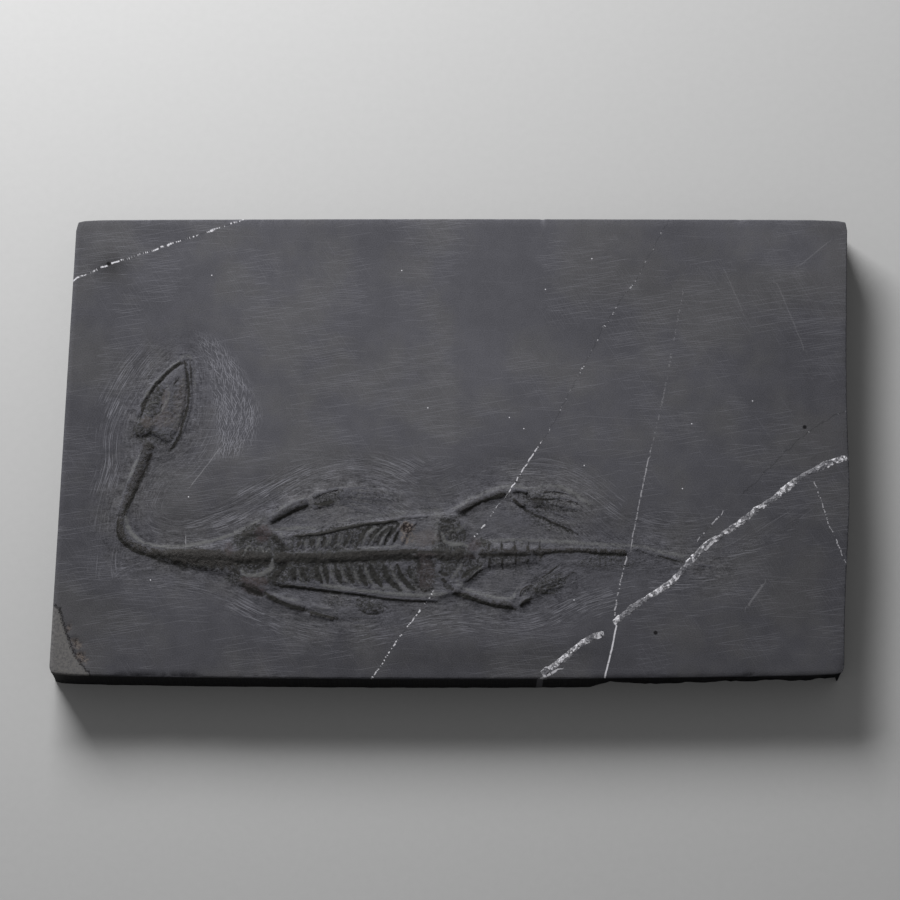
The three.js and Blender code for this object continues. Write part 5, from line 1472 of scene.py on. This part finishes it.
class Shader:
    """Builds a material's nodes. A value that goes in is a number or another node's output."""

    def __init__(self, name):
        self.material = bpy.data.materials.new(name)
        self.material.use_nodes = True
        self.tree = self.material.node_tree
        self.surface = self.tree.nodes["Principled BSDF"]
        here = self.node("ShaderNodeTexCoord").outputs["Object"]
        self.place = self.vector("SCALE", here, scale=1 / MM)

    def node(self, kind, inputs=(), **settings):
        made = self.tree.nodes.new(kind)
        for name, value in settings.items():
            setattr(made, name, value)
        for name, value in dict(inputs).items():
            self.put(value, made.inputs[name])
        return made

    def put(self, value, socket):
        if isinstance(value, bpy.types.NodeSocket):
            self.tree.links.new(value, socket)
        else:
            socket.default_value = value

    def math(self, operation, a, b=0.0):
        return self.node("ShaderNodeMath", {0: a, 1: b}, operation=operation).outputs[0]

    def chained(self, operation, values):
        total, *others = values
        for value in others:
            total = self.math(operation, total, value)
        return total

    def times(self, *values):
        return self.chained("MULTIPLY", values)

    def plus(self, *values):
        return self.chained("ADD", values)

    def less(self, a, b):
        return self.math("SUBTRACT", a, b)

    def unsigned(self, value):
        return self.math("ABSOLUTE", value)

    def vector(self, operation, a, b=None, scale=None):
        made = self.node("ShaderNodeVectorMath", {0: a}, operation=operation)
        if b is not None:
            self.put(b, made.inputs[1])
        if scale is not None:
            self.put(scale, made.inputs["Scale"])
        return made.outputs["Value" if operation == "DISTANCE" else "Vector"]

    def between(self, value, low, high, to_low=0.0, to_high=1.0):
        """Goes smoothly from to_low to to_high as the value goes from low to high."""
        inputs = {0: value, 1: low, 2: high, 3: to_low, 4: to_high}
        return self.node("ShaderNodeMapRange", inputs, interpolation_type="SMOOTHSTEP").outputs[0]

    def swing(self, noise, amount, reach=0.2):
        """Goes from minus to plus the amount as a noise goes through its middle, 0.5, by the reach."""
        return self.between(noise, 0.5 - reach, 0.5 + reach, -amount, amount)

    def noise(self, at, scale, detail=3.0, roughness=0.6, dimensions="2D"):
        """Noise over the face, which is quicker, or in the round with 3D."""
        inputs = {"Vector": at, "Scale": scale, "Detail": detail, "Roughness": roughness}
        return self.node("ShaderNodeTexNoise", inputs, noise_dimensions=dimensions).outputs["Fac"]

    def stretched(self, x, y, z=1.0):
        """The place with each coordinate scaled by its own number."""
        return self.vector("MULTIPLY", self.place, (x, y, z))

    def away_from(self, x, y):
        """Distance over the face from one of its points."""
        return self.vector("DISTANCE", self.stretched(1.0, 1.0, 0.0), (x, y, 0))

    def parts(self, vector):
        return list(self.node("ShaderNodeSeparateXYZ", {0: vector}).outputs)

    def painted(self, name):
        return self.parts(self.node("ShaderNodeAttribute", attribute_name=name).outputs["Vector"])

    def joined(self, x, y, z=0.0):
        return self.node("ShaderNodeCombineXYZ", {0: x, 1: y, 2: z}).outputs[0]

    def mixed(self, share, a, b):
        """Colour a where the share is 0, and colour b where it is 1."""
        made = self.node("ShaderNodeMix", data_type="RGBA")
        for socket, value in ((0, share), (6, a), (7, b)):
            if isinstance(value, tuple):
                value = (*value, 1.0)
            self.put(value, made.inputs[socket])
        return made.outputs[2]

    def over(self, colour, other, *shares):
        """Lays another colour over a colour, as much as the product of the shares says."""
        return self.mixed(self.times(*shares), colour, other)

    def shaded(self, colour, value):
        """A colour made lighter or darker by a number."""
        return self.vector("MULTIPLY", colour, self.joined(value, value, value))

    def darkened(self, colour, *shares):
        return self.shaded(colour, self.less(1.0, self.times(*shares)))

    def turned(self, degrees):
        """The place's two coordinates, turned, so that the second runs along the turned way."""
        x, y, _ = self.parts(self.place)
        angle = math.radians(degrees)
        along = self.plus(self.times(x, math.cos(angle)), self.times(y, math.sin(angle)))
        across = self.less(self.times(y, math.cos(angle)), self.times(x, math.sin(angle)))
        return across, along

    def finish(self, colour, roughness, height, sheen):
        """Joins up the surface, with a bump from a height in millimetres."""
        bump = self.node("ShaderNodeBump", {"Strength": 1.0, "Distance": MM, "Height": height})
        self.put(colour, self.surface.inputs["Base Color"])
        self.put(roughness, self.surface.inputs["Roughness"])
        self.put(bump.outputs[0], self.surface.inputs["Normal"])
        self.put(sheen, self.surface.inputs["Specular IOR Level"])
        return self.material


def dashes(made, at, share, seed, half_width, half_length, slant=0.0):
    """Short strokes along the second coordinate, each with its own place and strength.

    The plane is cut into cells of one unit, and a share of them holds a stroke.
    """
    x, y = at
    leaning = made.plus(x, made.times(y, slant))
    across = made.plus(made.times(leaning, DASH_REACH[0] / half_width), seed)
    spread = made.joined(across, made.times(y, DASH_REACH[1] / half_length))
    inputs = {"Vector": spread, "Scale": 1.0}
    cells = made.node("ShaderNodeTexVoronoi", inputs, voronoi_dimensions="2D").outputs
    offset = made.vector("ABSOLUTE", made.vector("SUBTRACT", spread, cells["Position"]))
    shape = [made.between(*place) for place in zip(made.parts(offset), DASH_REACH, DASH_CORE)]
    chance, strong, _ = made.parts(cells["Color"])
    there = made.between(chance, *[made.less(least, share) for least in DASH_CHANCE])
    strength = made.plus(DASH_WEAKEST, made.times(strong, 1 - DASH_WEAKEST))
    return made.times(*shape, there, strength)


def drawn_out(made, outward, along, scales):
    """A place for noise with a scale of its own away from the bones and one along them."""
    return made.joined(made.times(outward, scales[0]), made.times(along, scales[1]))


def mixture(made, parts, shares):
    return made.plus(*[made.times(part, share) for part, share in zip(parts, shares)])


def face_colour(made, grain):
    """The sanded face: faint clouds, painted fall-off of the light away from its middle, and fine scratches
    in mixed directions.
    """
    cloud = made.noise(made.place, *CLOUD_NOISE)
    blotches = made.noise(made.place, BLOTCH_NOISE)
    clouds = made.painted("hidden")[2]
    tone = made.plus(
        made.times(clouds, CLOUD_TONE),
        made.between(cloud, *CLOUD_RANGE),
        made.swing(blotches, BLOTCH_TONE),
        made.swing(grain, GRAIN_TONE, GRAIN_REACH),
        # Painted fall-off of the light: darker away from the middle of the pool of light
        made.between(made.away_from(*LIGHT_POOL_MIDDLE), *LIGHT_FALLOFF_RANGE),
    )
    colour = made.shaded(made.mixed(made.between(cloud, *WARM_RANGE), SHALE, SHALE_WARM), tone)
    bundles = made.between(made.noise(made.place, *BUNDLE_NOISE), *BUNDLE_RANGE)
    for number, (turn, strength) in enumerate(FACE_SCRATCHES):
        scratches = dashes(made, made.turned(turn), bundles, SCRATCH_STEP * number, *SCRATCH_SIZE)
        colour = made.over(colour, SHALE_POWDER, scratches, strength)
    return colour


def with_marks(made, colour, strokes):
    """The long marks of the scraping tool, and the dense strokes beside the head."""
    outward, along, strength = made.painted("marks")
    patchy = made.between(made.noise(made.place, *PATCHY_NOISE), *PATCHY_MARKS)
    shown = made.times(strength, patchy)
    share = made.math("MINIMUM", made.times(shown, MOST_DASHES), MOST_DASHES)
    lines = [dashes(made, (outward, along), share, *line) for line in LONG_LINES]
    fan_across, fan_along, fan = made.painted("fan")
    flurry = [dashes(made, (fan_across, fan_along), MOST_DASHES, *line) for line in FAN_LINES]

    fine = made.noise(drawn_out(made, outward, along, FINE_SCALES), *FINE_NOISE)
    speckle = made.noise(made.stretched(*SPECKLE_SCALES), *SPECKLE_NOISE)
    smear = made.noise(made.stretched(*SMEAR_SCALES), 1.0)
    uneven = made.plus(
        made.swing(fine, FINE_TONE), made.swing(speckle, SPECKLE_TONE), made.swing(smear, SMEAR_TONE)
    )
    nearness = made.painted("place")[2]
    colour = made.shaded(colour, made.plus(1.0, made.times(uneven, nearness)))
    colour = made.darkened(colour, made.between(strokes, *FURROW_RANGE), shown, FURROW_SHADE)
    powder = made.plus(
        made.times(made.chained("MAXIMUM", lines), shown, LINE_POWDER),
        made.times(made.chained("MAXIMUM", flurry), fan, FAN_POWDER),
    )
    return made.over(colour, SHALE_POWDER, powder)


def with_strokes(made, colour, specks, light_share):
    """Pale strokes and painted highlights, then black strokes and painted shadows over them, all broken up
    by specks.
    """
    light, dark, _ = made.painted("tint_and_shading")
    broken = made.swing(specks, STROKES_BROKEN)
    lit = made.between(made.plus(light, broken), *LIT_RANGE)
    colour = made.over(colour, LIT_ROCK, lit, light_share, made.between(light, *STROKE_FADE))
    blackened = made.between(made.plus(dark, broken), *BLACK_RANGE)
    fade = made.between(dark, *STROKE_FADE)
    return made.over(colour, NEAR_BLACK, blackened, fade, DARK_STRENGTH)


def with_carpet(made, colour, mottle):
    """The dark mottle of crushed bone and rock."""
    carpet = made.painted("tint_and_shading")[2]
    patches = made.plus(made.times(carpet, CARPET_SHARE), made.swing(mottle, *CARPET_SWING))
    shown = made.between(patches, *CARPET_RANGE)
    return made.over(colour, CARPET_GREY, shown, made.between(carpet, *CARPET_FADE))


def with_stains(made, colour, mottle, strength=1.0):
    """Purple brown, warm brown and rust patches."""
    purple, rust, brown = made.painted("stain")
    patchy = made.between(mottle, *PATCHY_STAINS)
    colour = made.over(colour, PURPLE_BROWN, purple, patchy, PURPLE_STRENGTH * strength)
    colour = made.over(colour, WARM_BROWN, brown, patchy, BROWN_STRENGTH * strength)
    flecks = made.noise(made.place, *FLECK_NOISE)
    pale = made.between(flecks, *FLECK_RANGE)
    colour = made.over(colour, RUST_PALE, made.between(rust, *RUST_FADE), pale, RUST_PALE_STRENGTH)
    flecked = made.plus(rust, made.times(flecks, FLECKS_OFF_RUST))
    dark_blob = made.between(flecked, *RUST_DARK_RANGE)
    return made.over(colour, RUST_BROWN, dark_blob, RUST_DARK_STRENGTH)


def with_hair_veins(made, colour):
    """Hairline veins: a faint dark line filled here and there with white."""
    signed, along, strength = made.painted("hair")
    half_width, fill, _ = made.painted("hair_form")
    wander = made.swing(made.noise(made.place, *WANDER_NOISE), *HAIR_SWING)
    wandered = made.times(wander, made.less(HAIR_WANDER_MOST, fill))
    away = made.unsigned(made.plus(signed, wandered))
    line = made.between(away, half_width, made.times(half_width, HAIR_CORE))
    beads = made.noise(made.joined(along, BEAD_ROW), *BEAD_NOISE)
    bare = made.less(BEADS_BARE, made.times(fill, BEADS_BY_FILL))
    white = made.between(beads, bare, made.plus(bare, BEAD_FADE))
    colour = made.darkened(colour, line, strength, made.less(1.0, fill), HAIR_SHADE)
    return made.over(colour, CALCITE_WHITE, line, strength, white)


def with_spots(made, colour, places, radius, spot_colour):
    """Small round spots of one colour."""
    for place in places:
        shown = made.between(made.away_from(*place), radius, SPOT_CORE * radius)
        colour = made.over(colour, spot_colour, shown)
    return colour


def with_corner(made, colour, mottle):
    """The pale corner, the crack along it and the rusty pits."""
    from_crack = made.painted("hair_form")[2]
    wavy = made.plus(from_crack, made.swing(mottle, *CRACK_SWING))
    patchy = made.between(mottle, *PATCHY_CORNER)
    colour = made.over(colour, CORNER_GREY, made.between(wavy, *CORNER_FADE), patchy)
    colour = made.darkened(colour, made.between(made.unsigned(wavy), *CRACK_FADE), CRACK_SHADE)
    rusty = made.mixed(made.between(mottle, *PIT_RUST_RANGE), RUST_BROWN, RUST_PALE)
    return made.over(colour, rusty, made.painted("hidden")[0], PIT_STRENGTH)


def side_colour(made):
    """The sawn sides, near black as painted shade, with the main vein running down the front one."""
    saw = made.noise(made.stretched(*SAW_SCALES), 1.0, dimensions="3D")
    side = made.shaded(SIDE_SHADE_BLACK, made.between(saw, *SAW_RANGE))
    from_vein = made.unsigned(made.painted("hidden")[1])
    return made.over(side, CALCITE_GREY, made.between(from_vein, *SIDE_VEIN_FADE), SIDE_VEIN_STRENGTH)


def shale_material():
    made = Shader("scraped_shale")
    outward, along, strength = made.painted("marks")
    is_side, pale_edge, _ = made.painted("place")
    carpet = made.painted("tint_and_shading")[2]
    grain = made.noise(made.place, *GRAIN_NOISE)
    mottle = made.noise(made.place, *MOTTLE_NOISE)
    strokes = made.noise(drawn_out(made, outward, along, STROKE_SCALES), *STROKE_NOISE)

    colour = face_colour(made, grain)
    colour = with_carpet(made, colour, mottle)
    colour = with_marks(made, colour, strokes)
    colour = with_stains(made, colour, mottle)
    specks = mixture(made, (mottle, grain, strokes), SPECK_SHARES)
    colour = with_strokes(made, colour, specks, LIGHT_ON_ROCK)
    colour = with_hair_veins(made, colour)
    colour = with_spots(made, colour, WHITE_SPECKS, WHITE_SPECK_RADIUS, CALCITE_WHITE)
    colour = with_spots(made, colour, DARK_SPOTS, DARK_SPOT_RADIUS, SIDE_SHADE_BLACK)
    colour = with_corner(made, colour, mottle)
    colour = made.over(colour, SHALE_POWDER, pale_edge, made.between(mottle, *PATCHY_PALE_EDGE), PALE_EDGE_STRENGTH)
    colour = made.over(colour, side_colour(made), is_side)

    bumps = made.plus(
        made.times(grain, GRAIN_BUMP),
        made.times(mottle, carpet, MOTTLE_BUMP),
        made.times(strokes, strength, STROKE_BUMP),
    )
    return made.finish(colour, made.between(grain, *GRAIN_RANGE, *ROCK_ROUGHNESS), bumps, ROCK_SHEEN)


def bone_material():
    """Dark bone where it is clean, and the rock's colours where dust covers it or it is crushed; painted
    highlight makes it paler where it faces the light and painted shade darker where it is turned away.
    """
    made = Shader("fossil_bone")
    dust, on_edge, _ = made.painted("dust")
    light, dark, _ = made.painted("tint_and_shading")
    mottle = made.noise(made.place, *MOTTLE_NOISE)
    fine = made.noise(made.stretched(*BONE_SCALES), *SPECKLE_NOISE)
    dirt = mixture(made, (mottle, fine), DIRT_SHARES)
    # The light and dark fields move the dust share: painted highlight on slopes that face the light,
    # painted shade on the others
    cover = made.plus(
        dust,
        DUST_OFFSET,
        made.times(on_edge, DUST_ON_EDGE),
        made.times(light, DUST_AND_HIGHLIGHT_ON_LIGHT),
        made.times(dark, CLEAN_AND_SHADE_ON_DARK),
    )
    dust_and_shading = made.between(made.plus(dirt, cover), *BONE_RANGE)
    bone = made.mixed(made.between(fine, *BONE_RANGE), BONE_BLACK, BONE_BROWN)
    colour = made.over(bone, with_carpet(made, SHALE, mottle), dust_and_shading)
    colour = with_stains(made, colour, mottle, STAINS_ON_BONE)
    colour = with_strokes(made, colour, dirt, LIGHT_ON_BONE)
    bumps = made.plus(made.times(fine, FINE_BUMP), made.times(mottle, MOTTLE_BUMP))
    return made.finish(colour, made.between(dust_and_shading, 0.0, 1.0, *BONE_ROUGHNESS), bumps, BONE_SHEEN)


def calcite_material():
    """White and grey grains, with dirt between them and where the vein is dim."""
    made = Shader("calcite_grains")
    dim, inside, _ = made.painted("dim")
    inputs = {"Vector": made.place, "Scale": CALCITE_GRAINS}
    cells = made.node("ShaderNodeTexVoronoi", inputs, voronoi_dimensions="2D").outputs
    shade = made.parts(cells["Color"])[0]
    cloud = made.noise(made.place, *VEIN_NOISE)
    white = made.plus(made.times(shade, WHITE_BY_GRAIN), cloud, made.times(inside, WHITE_INSIDE))
    colour = made.mixed(made.between(white, *WHITE_RANGE), CALCITE_GREY, CALCITE_WHITE)
    dirt = made.between(made.plus(cloud, made.times(dim, DIRT_WHERE_DIM)), *VEIN_DIRT_RANGE)
    colour = made.over(colour, SHALE, dirt, VEIN_DIRT)
    bumps = made.times(cells["Distance"], CALCITE_BUMP)
    return made.finish(colour, made.between(shade, 0.0, 1.0, *CALCITE_ROUGHNESS), bumps, CALCITE_SHEEN)


def floor_material():
    made = Shader("pale_floor")
    grain = made.noise(made.place, *FLOOR_NOISE, dimensions="3D")
    colour = made.shaded(PALE_FLOOR, made.between(grain, *GRAIN_RANGE, *FLOOR_TONE))
    return made.finish(colour, FLOOR_ROUGHNESS, made.times(grain, FLOOR_BUMP), FLOOR_SHEEN)


# The stage, with the camera's clipping in metres

TILT = math.radians(15)
CAMERA_DISTANCE = 1217
CAMERA_LENS = 152.5
SENSOR_WIDTH = 36
CAMERA_CLIP = (0.05, 20)
AIM = Vector((-1.4, -1.6, 15))
KEY_PLACE = (-300, 640, 420)
KEY_SIZE = (500, 300)
KEY_POWER = 13
WORLD_STRENGTH = 0.22
FLOOR_REACH = 3000


def add_camera():
    camera = bpy.data.objects.new("camera", bpy.data.cameras.new("camera"))
    camera.data.lens, camera.data.sensor_width = CAMERA_LENS, SENSOR_WIDTH
    camera.data.clip_start, camera.data.clip_end = CAMERA_CLIP
    back = Vector((0, -math.sin(TILT), math.cos(TILT)))
    camera.location = (AIM + back * CAMERA_DISTANCE) * MM
    camera.rotation_euler = (TILT, 0, 0)
    bpy.context.scene.collection.objects.link(camera)
    bpy.context.scene.camera = camera


def add_light():
    """One wide soft light from the back left, as in the photo."""
    light = bpy.data.lights.new("key", "AREA")
    light.shape = "RECTANGLE"
    light.size, light.size_y = (side * MM for side in KEY_SIZE)
    light.energy = KEY_POWER
    lamp = bpy.data.objects.new("key", light)
    lamp.location = Vector(KEY_PLACE) * MM
    lamp.rotation_mode = "QUATERNION"
    lamp.rotation_quaternion = (AIM * MM - lamp.location).to_track_quat("-Z", "Y")
    bpy.context.scene.collection.objects.link(lamp)


def add_floor():
    mesh = bpy.data.meshes.new("floor")
    reach = FLOOR_REACH * MM
    corners = [(-reach, -reach, 0), (reach, -reach, 0), (reach, reach, 0), (-reach, reach, 0)]
    mesh.from_pydata(corners, [], [(0, 1, 2, 3)])
    mesh.materials.append(floor_material())
    floor = bpy.data.objects.new("floor", mesh)
    bpy.context.scene.collection.objects.link(floor)


def add_world():
    world = bpy.data.worlds.new("studio")
    world.use_nodes = True
    background = world.node_tree.nodes["Background"].inputs
    background["Color"].default_value = (1, 1, 1, 1)
    background["Strength"].default_value = WORLD_STRENGTH
    bpy.context.scene.world = world
    bpy.context.scene.view_settings.view_transform = "Standard"


slate = shale_material()
bone = bone_material()
calcite = calcite_material()
add_slab(slate)
for name in BONES:
    add_bone(name, bone)
for name in VEINS:
    add_vein(name, calcite)
add_camera()
add_light()
add_world()
add_floor()
